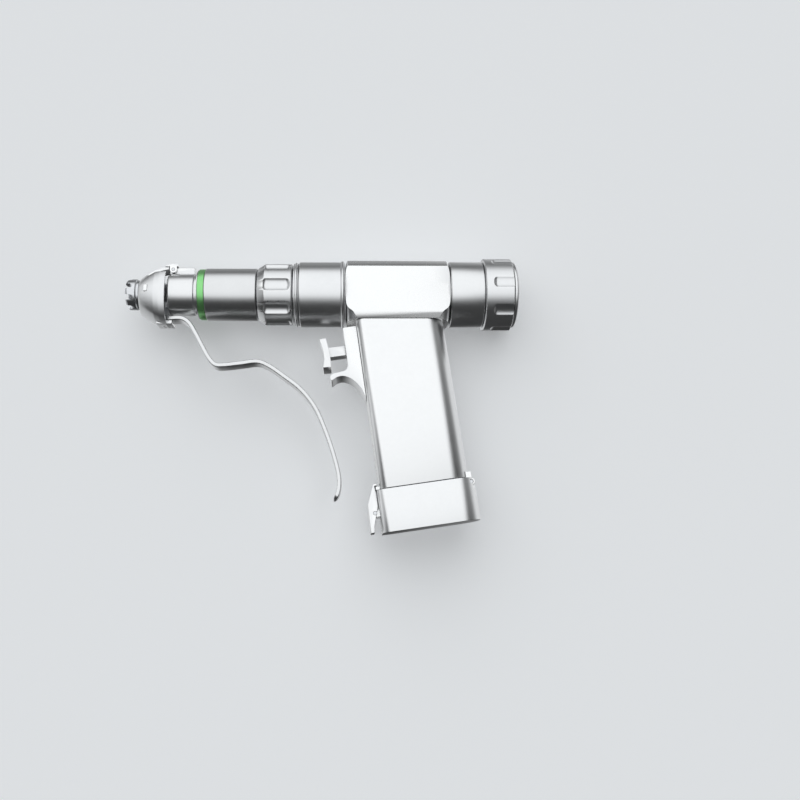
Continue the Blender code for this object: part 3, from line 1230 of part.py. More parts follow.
latch_pivot = empty("latch_pivot", cover_hinge, (LATCH_PIVOT_X - HINGE_X, 0, LATCH_PIVOT_Z - HINGE_Z))
nose_z = seam + 2.5 * MM
latch_outline = [
    (-33.2 * MM, 0.9 * MM),
    (-30.9 * MM, 0.9 * MM),
    (-30.4 * MM, 5.0 * MM),
    (COVER_FRONT - 0.5 * MM, 15.0 * MM),
    (COVER_FRONT - 0.5 * MM, LATCH_TOP + 1.0 * MM),
    (GRIP_FRONT - 2.8 * MM, nose_z),
    (GRIP_FRONT - 1.1 * MM, nose_z),
    (GRIP_FRONT - 1.1 * MM, nose_z + 1.2 * MM),
    (GRIP_FRONT - 3.4 * MM, nose_z + 1.2 * MM),
    (-32.9 * MM, 16.4 * MM),
]
latch_mesh = outline_mesh("battery_latch", [latch_outline], LATCH_HALF_WIDTH, SIDE_TO_WORLD)
latch_place = (-LATCH_PIVOT_X, 0, -LATCH_PIVOT_Z)
battery_latch = add("battery_latch", latch_mesh, satin, latch_pivot, latch_place)
for side, label in ((-1, "near"), (1, "far")):
    low_y = side * latch_ear_y - 1.7 * MM
    pocket = box(
        f"latch_pocket_{label}",
        (LATCH_PIVOT_X - 2.3 * MM, low_y, LATCH_PIVOT_Z - 3.4 * MM),
        (COVER_FRONT + MM, low_y + 3.4 * MM, LATCH_PIVOT_Z + 3.4 * MM),
    )
    cut(battery_latch, pocket)
cut(battery_latch, latch_pin_hole)
latch_pin = cross_rod("latch_pin", 0, 0, LATCH_PIN_RADIUS, LATCH_HALF_WIDTH - 0.3 * MM, steel, steps=TINY)
latch_pin.parent = latch_pivot
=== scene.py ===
# %% [markdown]
# # A cordless surgical drill
# The drill is a satin metal pistol with a wire-driver attachment on its nose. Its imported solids
# already have the right sizes and joints, but they are faceted and plain. This lesson dresses
# them: the turned, fluted and bent pieces that show are made again with fine facets and broken
# edges, and each finish is built from shader nodes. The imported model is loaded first, because
# each new piece takes its place from it.

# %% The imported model
import json
import math

import bmesh
import bpy
from mathutils import Matrix, Vector

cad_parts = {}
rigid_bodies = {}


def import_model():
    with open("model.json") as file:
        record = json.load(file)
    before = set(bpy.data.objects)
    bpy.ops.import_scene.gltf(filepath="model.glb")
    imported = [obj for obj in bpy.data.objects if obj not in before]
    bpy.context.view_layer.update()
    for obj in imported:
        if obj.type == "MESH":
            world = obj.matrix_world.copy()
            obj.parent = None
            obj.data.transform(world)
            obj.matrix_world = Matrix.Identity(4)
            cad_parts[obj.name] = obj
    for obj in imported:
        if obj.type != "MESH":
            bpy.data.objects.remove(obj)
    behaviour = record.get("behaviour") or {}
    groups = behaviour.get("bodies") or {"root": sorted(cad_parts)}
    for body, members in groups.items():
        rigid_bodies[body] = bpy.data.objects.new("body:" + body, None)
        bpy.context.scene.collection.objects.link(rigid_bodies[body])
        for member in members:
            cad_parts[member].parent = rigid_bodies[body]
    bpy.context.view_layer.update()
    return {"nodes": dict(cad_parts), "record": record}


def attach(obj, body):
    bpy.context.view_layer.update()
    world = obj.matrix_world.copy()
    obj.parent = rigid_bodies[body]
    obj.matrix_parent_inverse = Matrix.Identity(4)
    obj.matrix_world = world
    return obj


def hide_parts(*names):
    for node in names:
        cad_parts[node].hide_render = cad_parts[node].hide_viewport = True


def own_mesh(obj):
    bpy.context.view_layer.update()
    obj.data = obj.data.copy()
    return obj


for leftover in list(bpy.data.objects):
    bpy.data.objects.remove(leftover, do_unlink=True)
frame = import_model()
nodes = frame["nodes"]
for plain in list(bpy.data.materials):
    bpy.data.materials.remove(plain)
MM = 0.001

# %% [markdown]
# The barrel tilts a little on the grip, nose up. Its pieces are easiest to draw in its own
# frame, with X up, Y across and Z forward to the nose, so a turned piece is a list of radius and
# forward points. One matrix takes them to their place.

# %% The barrel's own frame
BARREL_HEIGHT = 138.0 * MM
BARREL_TILT = math.radians(7.4)
NOSE_TIP = 155.0
unturned = Matrix.Identity(4)
barrel = Matrix.Translation((0, 0, BARREL_HEIGHT)) @ Matrix.Rotation(BARREL_TILT - math.pi / 2, 4, "Y")

print("nose at", [round(value / MM, 1) for value in barrel @ Vector((0, 0, NOSE_TIP * MM))])

# %% [markdown]
# Shader maths reads best as plain arithmetic. This class wraps a node's output, so that adding
# or multiplying two of them adds the Math nodes. Any other node comes from one method, which
# takes its type, its settings and the values or links of its sockets. A finish is a material
# with a Principled shader.

# %% Arithmetic on node sockets


class Value:
    """The output of a node, which Python arithmetic turns into further nodes"""

    def __init__(self, tree, socket):
        self.tree = tree
        self.socket = socket

    def math(self, operation, *others, clamp=False):
        made = self.tree.nodes.new("ShaderNodeMath")
        made.operation = operation
        made.use_clamp = clamp
        for place, value in enumerate((self, *others)):
            if isinstance(value, Value):
                self.tree.links.new(value.socket, made.inputs[place])
            else:
                made.inputs[place].default_value = value
        return Value(self.tree, made.outputs[0])

    def __add__(self, other):
        return self.math("ADD", other)

    def __sub__(self, other):
        return self.math("SUBTRACT", other)

    def __mul__(self, other):
        return self.math("MULTIPLY", other)

    def __rsub__(self, other):
        return (self * -1.0).math("ADD", other)

    __radd__ = __add__
    __rmul__ = __mul__

    def limited(self):
        return self.math("ADD", 0.0, clamp=True)

    def between(self, low, high):
        """0 below low, 1 above high and a straight line between"""
        return ((self - low) * (1.0 / (high - low))).limited()


class Nodes:
    """A tree of nodes, each made from its type, its settings and its inputs"""

    family = ""

    def node(self, kind, settings, inputs, output=0):
        made = self.tree.nodes.new(self.family + kind)
        for name, value in settings.items():
            setattr(made, name, value)
        for name, value in inputs.items():
            if isinstance(value, Value):
                self.tree.links.new(value.socket, made.inputs[name])
            else:
                made.inputs[name].default_value = value
        return Value(self.tree, made.outputs[output])


class Finish(Nodes):
    """A material made of a Principled shader and what feeds it"""

    family = "ShaderNode"

    def __init__(self, name, colour, roughness, metallic=0.0, **constants):
        self.material = bpy.data.materials.new(name)
        self.material.use_nodes = True
        self.tree = self.material.node_tree
        self.shader = self.tree.nodes["Principled BSDF"]
        self.set("Base Color", (*colour, 1.0))
        self.set("Roughness", roughness)
        self.set("Metallic", metallic)
        for socket, value in constants.items():
            self.set(socket.replace("_", " "), value)

    def set(self, socket, value):
        target = self.shader.inputs[socket]
        if isinstance(value, Value):
            self.tree.links.new(value.socket, target)
        else:
            target.default_value = value

    def place(self, turn=(0, 0, 0), scale=(1, 1, 1)):
        """Object coordinates in metres, turned and then stretched"""
        here = self.node("TexCoord", {}, {}, "Object")
        turned = self.node("Mapping", {"vector_type": "POINT"}, {"Vector": here, "Rotation": turn})
        return self.node("Mapping", {"vector_type": "POINT"}, {"Vector": turned, "Scale": scale})

    def noise(self, place, scale, detail=2.0, roughness=0.5):
        inputs = {"Vector": place, "Scale": scale, "Detail": detail, "Roughness": roughness}
        return self.node("TexNoise", {}, inputs)

    def tint(self, amount, first, second):
        """Two colours mixed by an amount; each is three numbers or the output of a node"""
        colours = [given if isinstance(given, Value) else (*given, 1.0) for given in (first, second)]
        return self.node("Mix", {"data_type": "RGBA"}, {0: amount, 6: colours[0], 7: colours[1]}, 2)

    def bump(self, height, depth, strength):
        """Small dents of a depth in millimetres, seen in the shading only"""
        inputs = {"Height": height, "Distance": depth * MM, "Strength": strength}
        self.set("Normal", self.node("Bump", {}, inputs))


def dimmed(colour, share):
    return tuple(share * value for value in colour)


# %% [markdown]
# ## Satin metal
# The housing, grip, collars and lever are bead-blasted alloy: bright, softly glossy, with a
# fine grain and slight cloudiness where hands and sterilising have worked on it. The grain is
# noise at a fifth of a millimetre feeding a shallow bump. Broader noise moves the roughness a
# little, so that highlights break up, and corners are a touch brighter from wear.

# %% Satin metal
BARREL_TURN = (0.0, math.pi / 2 - BARREL_TILT, 0.0)
ALONG_ONLY = (0.0, 0.0, 1.0)
WORN_METAL = (0.93, 0.93, 0.92)

# How often each noise changes in a metre
GRAIN = 5200.0
SMEARS = 340.0
CLOUDS = 60.0
TURNING_LINES = 2600.0

# How deep the grain and the turning lines look, in millimetres
FINE_DEPTH = 0.02


def satin_metal(name, colour, roughness, ring_depth=0.0):
    """Blasted metal; with a ring depth it also keeps faint turning lines round the barrel"""
    finish = Finish(name, colour, roughness, metallic=1.0)
    place = finish.place()
    grain = finish.noise(place, GRAIN, 2.0, 0.6)
    cloud = finish.noise(place, CLOUDS, 4.0, 0.6)
    smear = finish.noise(place, SMEARS, 3.0, 0.6)
    edge = finish.node("NewGeometry", {}, {}, "Pointiness")
    worn = edge.between(0.505, 0.56)
    finish.set("Roughness", roughness - 0.045 + 0.06 * cloud + 0.05 * smear - 0.07 * worn)
    cloudy = (0.55 * cloud + 0.45 * smear).between(0.3, 0.7)
    base = finish.tint(cloudy, dimmed(colour, 0.93), colour)
    finish.set("Base Color", finish.tint(worn * 0.5, base, WORN_METAL))
    height = grain
    if ring_depth:
        along = finish.place(BARREL_TURN, ALONG_ONLY)
        height = 0.6 * grain + ring_depth * finish.noise(along, TURNING_LINES, 1.0)
    finish.bump(height, FINE_DEPTH, 0.45)
    return finish.material


satin = satin_metal("satin_alloy", (0.80, 0.805, 0.81), 0.33)
turned_satin = satin_metal("satin_alloy_turned", (0.78, 0.785, 0.79), 0.30, 0.5)
nose_satin = satin_metal("satin_alloy_nose", (0.70, 0.705, 0.71), 0.30, 0.5)
lever_satin = satin_metal("satin_alloy_lever", (0.72, 0.725, 0.73), 0.30)
print("satin metal:", satin.name, turned_satin.name, nose_satin.name, lever_satin.name)

# %% [markdown]
# ## Bright steel
# Shafts, bearings, gears and pins are ground steel. Lathe lines run round them, so the noise is
# squashed to nothing across the barrel and only changes along it.

# %% Bright steel
GROUND_LINES = 3400.0
STEEL_PATCHES = 150.0


def ground_steel(name, colour, roughness):
    """Steel with fine lines round the barrel's axis and slightly duller patches"""
    finish = Finish(name, colour, roughness, metallic=1.0)
    lines = finish.noise(finish.place(BARREL_TURN, ALONG_ONLY), GROUND_LINES, 2.0)
    patch = finish.noise(finish.place(), STEEL_PATCHES, 3.0)
    finish.set("Roughness", roughness - 0.04 + 0.05 * lines + 0.05 * patch)
    finish.set("Base Color", finish.tint(patch.between(0.35, 0.65), dimmed(colour, 0.9), colour))
    finish.bump(lines, FINE_DEPTH, 0.3)
    return finish.material


steel = ground_steel("polished_steel", (0.68, 0.69, 0.71), 0.24)
dark_steel = ground_steel("burnished_steel", (0.42, 0.43, 0.45), 0.30)
print("steel:", steel.name, dark_steel.name)

# %% [markdown]
# ## Anodised green
# The ring that tells one attachment from another is dyed, anodised alloy: the metal shines
# through a clear coloured skin, so it stays metallic and takes a thin coat.

# %% Anodised green
GREEN = (0.30, 0.72, 0.28)
DEEP_GREEN = (0.24, 0.66, 0.23)
PALE_GREEN = (0.33, 0.75, 0.30)
DYE_PATCHES = 120.0
anodised = Finish("green_anodised", GREEN, 0.36, metallic=0.85, Coat_Weight=0.2, Coat_Roughness=0.2)
dye_lines = anodised.noise(anodised.place(BARREL_TURN, ALONG_ONLY), TURNING_LINES, 2.0)
dye_patch = anodised.noise(anodised.place(), DYE_PATCHES, 3.0)
anodised.set("Base Color", anodised.tint(dye_patch.between(0.3, 0.7), DEEP_GREEN, PALE_GREEN))
anodised.set("Roughness", 0.30 + 0.10 * dye_patch)
anodised.bump(dye_lines, FINE_DEPTH, 0.3)
green = anodised.material
print("anodised green has", len(anodised.tree.nodes), "nodes")

# %% [markdown]
# ## Finishes inside the housing
# The motor, electronics and battery are hidden while the cover is shut, and partly seen when it
# swings open. Each has the look of its own stuff: lacquered copper, nickel, printed board,
# moulded plastic, brass, shrink wrap and rubber.

# %% Finishes inside


def plain_finish(name, colour, roughness, metallic, grain_scale, grain_depth, shift=0.85):
    """A finish whose colour, roughness and surface vary with one noise of the given grain"""
    finish = Finish(name, colour, roughness, metallic)
    grain = finish.noise(finish.place(), grain_scale, 3.0)
    finish.set("Base Color", finish.tint(grain.between(0.3, 0.7), dimmed(colour, shift), colour))
    finish.set("Roughness", roughness - 0.06 + 0.12 * grain)
    finish.bump(grain, grain_depth, 0.5)
    return finish.material


# Colour, roughness, metallic value, grain in a metre, its depth in millimetres, and its dark share
INNER_FINISHES = {
    "winding_copper": ((0.62, 0.30, 0.15), 0.42, 1.0, 900.0, 0.1, 0.7),
    "magnet_nickel": ((0.45, 0.45, 0.46), 0.35, 1.0, 500.0, 0.02),
    "circuit_board": ((0.02, 0.22, 0.10), 0.45, 0.0, 700.0, 0.03),
    "dark_plastic": ((0.05, 0.05, 0.055), 0.5, 0.0, 2500.0, 0.03),
    "contact_brass": ((0.72, 0.52, 0.22), 0.28, 1.0, 800.0, 0.01),
    "battery_wrap": ((0.10, 0.14, 0.30), 0.38, 0.0, 200.0, 0.04),
    "seal_rubber": ((0.03, 0.03, 0.03), 0.8, 0.0, 2000.0, 0.04),
}
slot_finish = {"satin_alloy": satin, "polished_steel": steel, "green_anodised": green}
for name, values in INNER_FINISHES.items():
    slot_finish[name] = plain_finish(name, *values)
print("finishes by slot:", len(slot_finish))

# %% Each solid gets the finish of its slot
record = frame["record"]
slot_of = {part["node"]: part["material_slot"] for part in record["subparts"]}
body_of = {node: body for body, members in record["behaviour"]["bodies"].items() for node in members}
for name, node in nodes.items():
    node.data.materials.clear()
    node.data.materials.append(slot_finish[slot_of[name]])
print("finished", len(nodes), "solids")

# %% [markdown]
# ## Turned pieces
# Most of the barrel comes off a lathe. Its drawing is a closed outline of radius and forward
# points, and every corner of a real one is broken, because a sharp edge would cut the hand.
# Rounding the corners in the outline before it is spun gives those edges cheaply, with clean
# bands of faces that catch a highlight.

# %% Rounded outlines and spun pieces
ROUND_STEPS = 3
TURN_STEPS = 144
TINY = 1e-7
NEARLY_STRAIGHT = -0.995
SIDE_SHARE = 0.45


def rounded(points, radius, open_ends=False):
    """An outline with each corner replaced by a short curve that keeps inside it"""
    result = []
    count = len(points)
    for i, point in enumerate(points):
        corner = Vector(point)
        if open_ends and i in (0, count - 1):
            result.append(corner)
            continue
        before = Vector(points[i - 1]) - corner
        after = Vector(points[(i + 1) % count]) - corner
        reach = min(radius, SIDE_SHARE * before.length, SIDE_SHARE * after.length)
        straight = before.normalized().dot(after.normalized()) < NEARLY_STRAIGHT
        if straight or reach < TINY:
            result.append(corner)
            continue
        start = corner + before.normalized() * reach
        end = corner + after.normalized() * reach
        for step in range(ROUND_STEPS + 1):
            t = step / ROUND_STEPS
            result.append(start * (1 - t) ** 2 + corner * 2 * t * (1 - t) + end * t**2)
    return result


def added(name, data):
    """A new object in the scene, at the origin"""
    piece = bpy.data.objects.new(name, data)
    bpy.context.scene.collection.objects.link(piece)
    return piece


def mesh_object(name, form, material, matrix=None):
    """A bmesh made into a piece at the origin, its faces pointing out"""
    if matrix is not None:
        bmesh.ops.transform(form, matrix=matrix, verts=form.verts)
    bmesh.ops.remove_doubles(form, verts=form.verts, dist=TINY)
    bmesh.ops.recalc_face_normals(form, faces=form.faces)
    mesh = bpy.data.meshes.new(name)
    form.to_mesh(mesh)
    form.free()
    mesh.materials.append(material)
    piece = added(name, mesh)
    shade(piece)
    return piece


def shade(piece, angle=30):
    """Smooth shading, apart from edges sharper than the angle in degrees"""
    piece.data.shade_smooth()
    piece.data.set_sharp_from_angle(angle=math.radians(angle))


def settle(piece):
    """Puts what a piece's modifiers make into its own mesh, and removes them"""
    bpy.context.view_layer.update()
    graph = bpy.context.evaluated_depsgraph_get()
    mesh = bpy.data.meshes.new_from_object(piece.evaluated_get(graph))
    piece.modifiers.clear()
    piece.data = mesh


def spun(name, profile, material, radius=0.25, steps=TURN_STEPS, matrix=barrel, solid=False):
    """A closed outline in millimetres spun round the Z axis; a solid one starts and ends on the axis"""
    outline = rounded(profile, radius, solid)
    form = bmesh.new()
    rings = []
    for step in range(steps):
        angle = 2 * math.pi * step / steps
        x, y = math.cos(angle), math.sin(angle)
        rings.append([form.verts.new((r * x * MM, r * y * MM, z * MM)) for r, z in outline])
    count = len(outline)
    for step in range(steps):
        here = rings[step]
        there = rings[(step + 1) % steps]
        for i in range(count - 1 if solid else count):
            corners = [here[i], here[(i + 1) % count], there[(i + 1) % count], there[i]]
            form.faces.new(corners)
    bmesh.ops.remove_doubles(form, verts=form.verts, dist=TINY)
    bmesh.ops.dissolve_degenerate(form, edges=form.edges, dist=TINY / 10)
    return mesh_object(name, form, material, matrix)


def stands_for(piece, *covered):
    """The new piece takes the place of CAD nodes, which it hides: it rides with the first one's body"""
    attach(piece, body_of[covered[0]])
    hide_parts(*covered)
    return piece


# %% [markdown]
# The two plain barrels, the stop ring and the end cap are spun first. The front barrel has a
# raised bead where it meets the block, and the stop ring a bead round its middle: the dark
# lines beside them are real gaps, which shade themselves.

# %% Front and rear barrels
BARREL_BORE = 16.2
BEAD_REAR = 29.1
FRONT_END = 55.5
front_barrel = [(18.5, FRONT_END), (19.0, FRONT_END - 0.5), (19.0, 31.3)]
front_barrel += [(19.6, 30.9), (19.7, 30.3), (19.6, 29.7), (19.0, BEAD_REAR)]
front_barrel += [(BARREL_BORE, BEAD_REAR), (BARREL_BORE, FRONT_END)]
stands_for(spun("barrel_front", front_barrel, turned_satin, 0.35), "front_barrel")
REAR_START = -32.3
REAR_END = -51.8
rear_barrel = [(18.9, REAR_START), (19.3, REAR_START - 0.4), (19.3, REAR_END + 0.4), (18.9, REAR_END)]
rear_barrel += [(BARREL_BORE, REAR_END), (BARREL_BORE, REAR_START)]
stands_for(spun("barrel_rear", rear_barrel, turned_satin, 0.3), "rear_barrel")
print("barrels from", FRONT_END, "back to", REAR_END, "mm")

# %% Stop ring, end cap and hub
stop_ring = [(18.2, 58.5), (18.2, 57.8), (18.8, 57.5), (18.8, 56.6), (18.2, 56.3), (18.2, 55.8)]
stop_ring += [(12.8, 55.8), (12.8, 58.5)]
stands_for(spun("ring_stop", stop_ring, turned_satin, 0.25), "stop_ring")
CAP_FRONT = -69.2
CAP_REAR = CAP_FRONT - 2.6
end_cap = [(19.4, CAP_FRONT), (19.4, CAP_REAR + 1.3), (18.6, CAP_REAR + 0.4), (17.8, CAP_REAR)]
end_cap += [(9.2, CAP_REAR), (8.8, CAP_REAR + 0.3), (8.4, CAP_REAR)]
end_cap += [(5.0, CAP_REAR), (2.5, CAP_REAR + 1.2), (2.5, CAP_FRONT)]
stands_for(spun("cap_rear", end_cap, turned_satin, 0.3), "rear_cap")
hub = [(16.1, REAR_END + 8.0), (16.1, REAR_END + 0.3), (16.0, REAR_END), (16.0, CAP_FRONT + 0.3)]
hub += [(13.0, CAP_FRONT + 0.3), (13.0, REAR_END + 8.0)]
stands_for(spun("hub_rear", hub, steel, 0.2), "rear_hub")
print("end cap ends at", CAP_REAR, "mm")

# %% [markdown]
# ## Fluted rings
# The lock collar and the selector ring are turned blanks with eight shallow scallops milled
# round them. That is a rule, so Geometry Nodes does the milling: each point of the blank is
# pulled in to the surface of the nearest round cutter. A smooth minimum blends cutter and blank,
# which breaks the edges of the lands as a polisher would, and each scallop runs out in an arc.

# %% A geometry tree that mills the flutes


class Shape(Nodes):
    """A tree of geometry nodes with named inputs, whose fields are added like numbers"""

    def __init__(self, name, sizes):
        self.tree = bpy.data.node_groups.new(name, "GeometryNodeTree")
        self.tree.interface.new_socket("Geometry", in_out="INPUT", socket_type="NodeSocketGeometry")
        self.tree.interface.new_socket("Geometry", in_out="OUTPUT", socket_type="NodeSocketGeometry")
        self.identifiers = {}
        for label, kind in {**sizes, "Finish": "Material"}.items():
            made = self.tree.interface.new_socket(label, in_out="INPUT", socket_type="NodeSocket" + kind)
            self.identifiers[label] = made.identifier
        self.start = self.tree.nodes.new("NodeGroupInput")
        self.end = self.tree.nodes.new("NodeGroupOutput")

    def input(self, label):
        return Value(self.tree, self.start.outputs[label])

    def finish(self, geometry):
        """Every tree ends with real, not instanced, geometry that has its finish"""
        real = self.node("GeometryNodeRealizeInstances", {}, {"Geometry": geometry})
        dressed = {"Geometry": real, "Material": self.input("Finish")}
        self.tree.links.new(self.node("GeometryNodeSetMaterial", {}, dressed).socket, self.end.inputs[0])

    def apply(self, piece, sizes):
        """Runs the tree on a piece and leaves the result as that piece's plain mesh"""
        modifier = piece.modifiers.new(self.tree.name, "NODES")
        modifier.node_group = self.tree
        for label, value in sizes.items():
            modifier[self.identifiers[label]] = value
        settle(piece)
        return piece


FLUTE_SIZES = ["Count", "Outer", "Cutter", "Distance", "Phase", "Front", "Rear", "Run-out", "Blend"]
RIM_DEPTH = 2.0 * MM
milling = Shape("mill_flutes", dict.fromkeys(FLUTE_SIZES, "Float"))
spot = milling.node("GeometryNodeInputPosition", {}, {})
x, y, z = (milling.node("ShaderNodeSeparateXYZ", {}, {0: spot}, axis) for axis in range(3))
distance_out = (x * x + y * y).math("SQRT")
angle = y.math("ARCTAN2", x) - milling.input("Phase")
pitch = milling.input("Count").math("POWER", -1.0) * (2 * math.pi)
turns = angle.math("DIVIDE", pitch)
across = (turns - turns.math("FLOOR") - 0.5) * pitch
past_front = (z - milling.input("Front")).math("MAXIMUM", 0.0)
past_rear = (milling.input("Rear") - z).math("MAXIMUM", 0.0)
past = past_front + past_rear
run_out = milling.input("Run-out")
lost = run_out - (run_out * run_out - (past * past)).math("MAXIMUM", 0.0).math("SQRT")
cutter = milling.input("Cutter") - lost
reach = milling.input("Distance")
side = reach * across.math("SINE")
depth = (cutter * cutter - side * side).math("MAXIMUM", 0.0).math("SQRT")
milled = reach * across.math("COSINE") - depth
carved = distance_out.math("SMOOTH_MIN", milled, milling.input("Blend"))
is_rim = distance_out.math("GREATER_THAN", milling.input("Outer") - RIM_DEPTH)
shrink = carved.math("DIVIDE", distance_out)
factor = 1.0 + is_rim * (shrink - 1.0)
moved = milling.node("ShaderNodeCombineXYZ", {}, {0: x * factor, 1: y * factor, 2: z})
blank_points = {"Geometry": milling.input("Geometry"), "Position": moved}
placed = milling.node("GeometryNodeSetPosition", {}, blank_points)
milling.finish(placed)
print("milling tree has", len(milling.tree.nodes), "nodes")

# %% [markdown]
# The two blanks are spun with extra rings along the milled length, since the tree can only move
# points that are there. The selector ring's flutes run off its rear edge, and the lock collar's
# stop short of both ends.

# %% Milling a blank
FLUTES = 8
FLUTE_STEPS = 384
RING_SPACING = 0.4
RUN_OUT = 2.5
LAND_BLEND = 0.35


def divided(start, end):
    """Points from start up to end, which is left out"""
    count = max(1, round((Vector(end) - Vector(start)).length / RING_SPACING))
    return [tuple(Vector(start).lerp(Vector(end), i / count)) for i in range(count)]


def fluted(name, profile, outer, depth, land, phase, front, rear, covered):
    """A turned blank with scallops milled between lands of the given angle, in degrees"""
    pitch_angle = 2 * math.pi / FLUTES
    half = (pitch_angle - math.radians(land)) / 2
    chord = outer * math.sin(half)
    cutter_radius = (chord**2 + depth**2) / (2 * depth)
    blank = spun(name, profile, turned_satin, 0.3, FLUTE_STEPS, unturned)
    sizes = {
        "Count": float(FLUTES),
        "Outer": outer * MM,
        "Cutter": cutter_radius * MM,
        "Distance": (outer * math.cos(half) - depth + cutter_radius) * MM,
        "Phase": math.radians(phase),
        "Front": front * MM,
        "Rear": rear * MM,
        "Run-out": RUN_OUT * MM,
        "Blend": LAND_BLEND * MM,
        "Finish": turned_satin,
    }
    ring = milling.apply(blank, sizes)
    ring.data.transform(barrel)
    shade(ring, 40)
    print(name, len(ring.data.polygons), "faces")
    return stands_for(ring, covered)


# %% Lock collar
COLLAR_RADIUS = 17.8
COLLAR_FRONT = 79.3
COLLAR_REAR = 59.2
milled_edge = (COLLAR_RADIUS, COLLAR_REAR + 0.6)
collar_profile = [(15.4, COLLAR_FRONT), (17.5, 75.7), *divided((COLLAR_RADIUS, 75.1), milled_edge)]
collar_profile += [milled_edge, (17.2, COLLAR_REAR), (15.0, COLLAR_REAR), (15.0, 67.2)]
collar_profile += [(12.6, 67.2), (12.6, 77.3), (15.0, 77.3), (15.0, COLLAR_FRONT)]
fluted("collar_fluted", collar_profile, COLLAR_RADIUS, 1.5, 20.0, -20.6, 73.8, 62.8, "lock_collar")

# %% Selector ring
RING_RADIUS = 21.2
RING_BORE = 16.1
RING_FRONT = REAR_END - 0.3
RING_REAR = CAP_FRONT + 0.6
FLUTE_START = RING_FRONT - 6.7
FLUTE_END = RING_REAR - 8.0
rear_edge = (RING_RADIUS, RING_REAR + 0.3)
ring_profile = [(20.6, RING_FRONT), *divided((RING_RADIUS, RING_FRONT - 0.6), rear_edge), rear_edge]
ring_profile += [(20.9, RING_REAR), (RING_BORE, RING_REAR), (RING_BORE, RING_FRONT)]
fluted("ring_selector", ring_profile, RING_RADIUS, 0.9, 27.0, -19.9, FLUTE_START, FLUTE_END, "selector_ring")

# %% [markdown]
# ## Attachment
# The wire driver's sleeve and neck are turned too. The neck carries a square rib on top, which
# holds the lever's pivot pin, so the rib is added with a Boolean and its edges are bevelled.

# %% Cutting and joining


def combined(piece, *tools, operation="UNION"):
    """Boolean changes made at once, leaving a plain mesh and no helpers"""
    for tool in tools:
        change = piece.modifiers.new(tool.name, "BOOLEAN")
        change.operation = operation
        change.solver = "EXACT"
        change.object = tool
    settle(piece)
    for tool in tools:
        bpy.data.objects.remove(tool, do_unlink=True)
    shade(piece)


def cut(piece, *tools):
    combined(piece, *tools, operation="DIFFERENCE")


def broken_edges(piece, width, segments, angle):
    """Real broken edges, a width in millimetres, where faces meet at more than the angle"""
    bevel = piece.modifiers.new("broken_edges", "BEVEL")
    bevel.width = width * MM
    bevel.segments = segments
    bevel.limit_method = "ANGLE"
    bevel.angle_limit = math.radians(angle)
    bevel.use_clamp_overlap = True
    settle(piece)
    shade(piece, 40)


def block(name, low, high, material=satin, matrix=None, bevel=0.0):
    """A box between two corners in millimetres"""
    form = bmesh.new()
    bmesh.ops.create_cube(form, size=1)
    size = Vector(high) - Vector(low)
    bmesh.ops.scale(form, vec=size * MM, verts=form.verts)
    bmesh.ops.translate(form, vec=(Vector(low) + Vector(high)) / 2 * MM, verts=form.verts)
    if bevel:
        edges = form.edges[:]
        bmesh.ops.bevel(form, geom=edges, offset=bevel * MM, segments=3, profile=0.5, affect="EDGES")
    return mesh_object(name, form, material, matrix)


# %% Round bars and pins
PIN_STEPS = 32


def bar(name, radius, ends, place, material=satin, edge=0, steps=PIN_STEPS):
    """A round bar along the place's Z axis, from one end to the other"""
    start, end = ends
    profile = [(0, start), (radius, start), (radius, end), (0, end)]
    return spun(name, profile, material, edge, steps, place, solid=True)


def pin(name, radius, ends, centre, material=steel, matrix=unturned, steps=PIN_STEPS):
    """A round pin along Y through the (x, z) centre"""
    x, z = centre
    lying = Matrix.Translation((x * MM, 0, z * MM)) @ Matrix.Rotation(-math.pi / 2, 4, "X")
    return bar(name, radius, ends, matrix @ lying, material, 0.25 * radius, steps)


# %% Sleeve and colour ring
SLEEVE_FRONT = 109.4
SLEEVE_REAR = 79.8
sleeve = [(14.95, SLEEVE_FRONT), (15.25, SLEEVE_FRONT - 0.3), (15.25, 80.3), (14.75, SLEEVE_REAR)]
sleeve += [(10.0, SLEEVE_REAR), (10.0, SLEEVE_FRONT)]
stands_for(spun("sleeve", sleeve, nose_satin, 0.3), "attachment_sleeve")
COLOUR_REAR = SLEEVE_FRONT + 0.2
COLOUR_FRONT = COLOUR_REAR + 3.6
colour_ring = [(14.8, COLOUR_FRONT), (14.8, COLOUR_REAR), (12.6, COLOUR_REAR), (12.6, COLOUR_FRONT)]
stands_for(spun("ring_green", colour_ring, green, 0.2), "colour_ring")
print("sleeve", round(SLEEVE_FRONT - SLEEVE_REAR, 1), "mm long")

# %% Neck and its rib
PIVOT_UP = 13.7
PIVOT_FORWARD = 128.6
PIVOT = (PIVOT_UP, PIVOT_FORWARD)
FLANGE_REAR = COLOUR_FRONT + 0.2
GROOVE_REAR = FLANGE_REAR + 0.6
GROOVE_FRONT = GROOVE_REAR + 2.1
NECK_RADIUS = 12.3
NECK_FRONT = 131.0
neck = [(11.3, NECK_FRONT), (NECK_RADIUS, 130.0), (NECK_RADIUS, GROOVE_FRONT), (11.5, GROOVE_FRONT - 0.4)]
neck += [(11.5, GROOVE_REAR), (14.3, GROOVE_REAR), (14.3, FLANGE_REAR), (NECK_RADIUS, FLANGE_REAR)]
neck += [(NECK_RADIUS, COLOUR_REAR), (9.7, SLEEVE_FRONT), (9.7, 95.1), (8.9, 95.1)]
neck += [(8.9, 122.5), (7.4, 122.5), (7.4, NECK_FRONT)]
neck_piece = spun("neck", neck, turned_satin, 0.2)
rib = block("rib", (10.8, -4.0, GROOVE_FRONT + 0.2), (15.4, 4.0, 130.8), turned_satin, barrel, 0.5)
combined(neck_piece, rib)
cut(neck_piece, pin("pivot_bore", 1.05, (-6, 6), PIVOT, matrix=barrel))
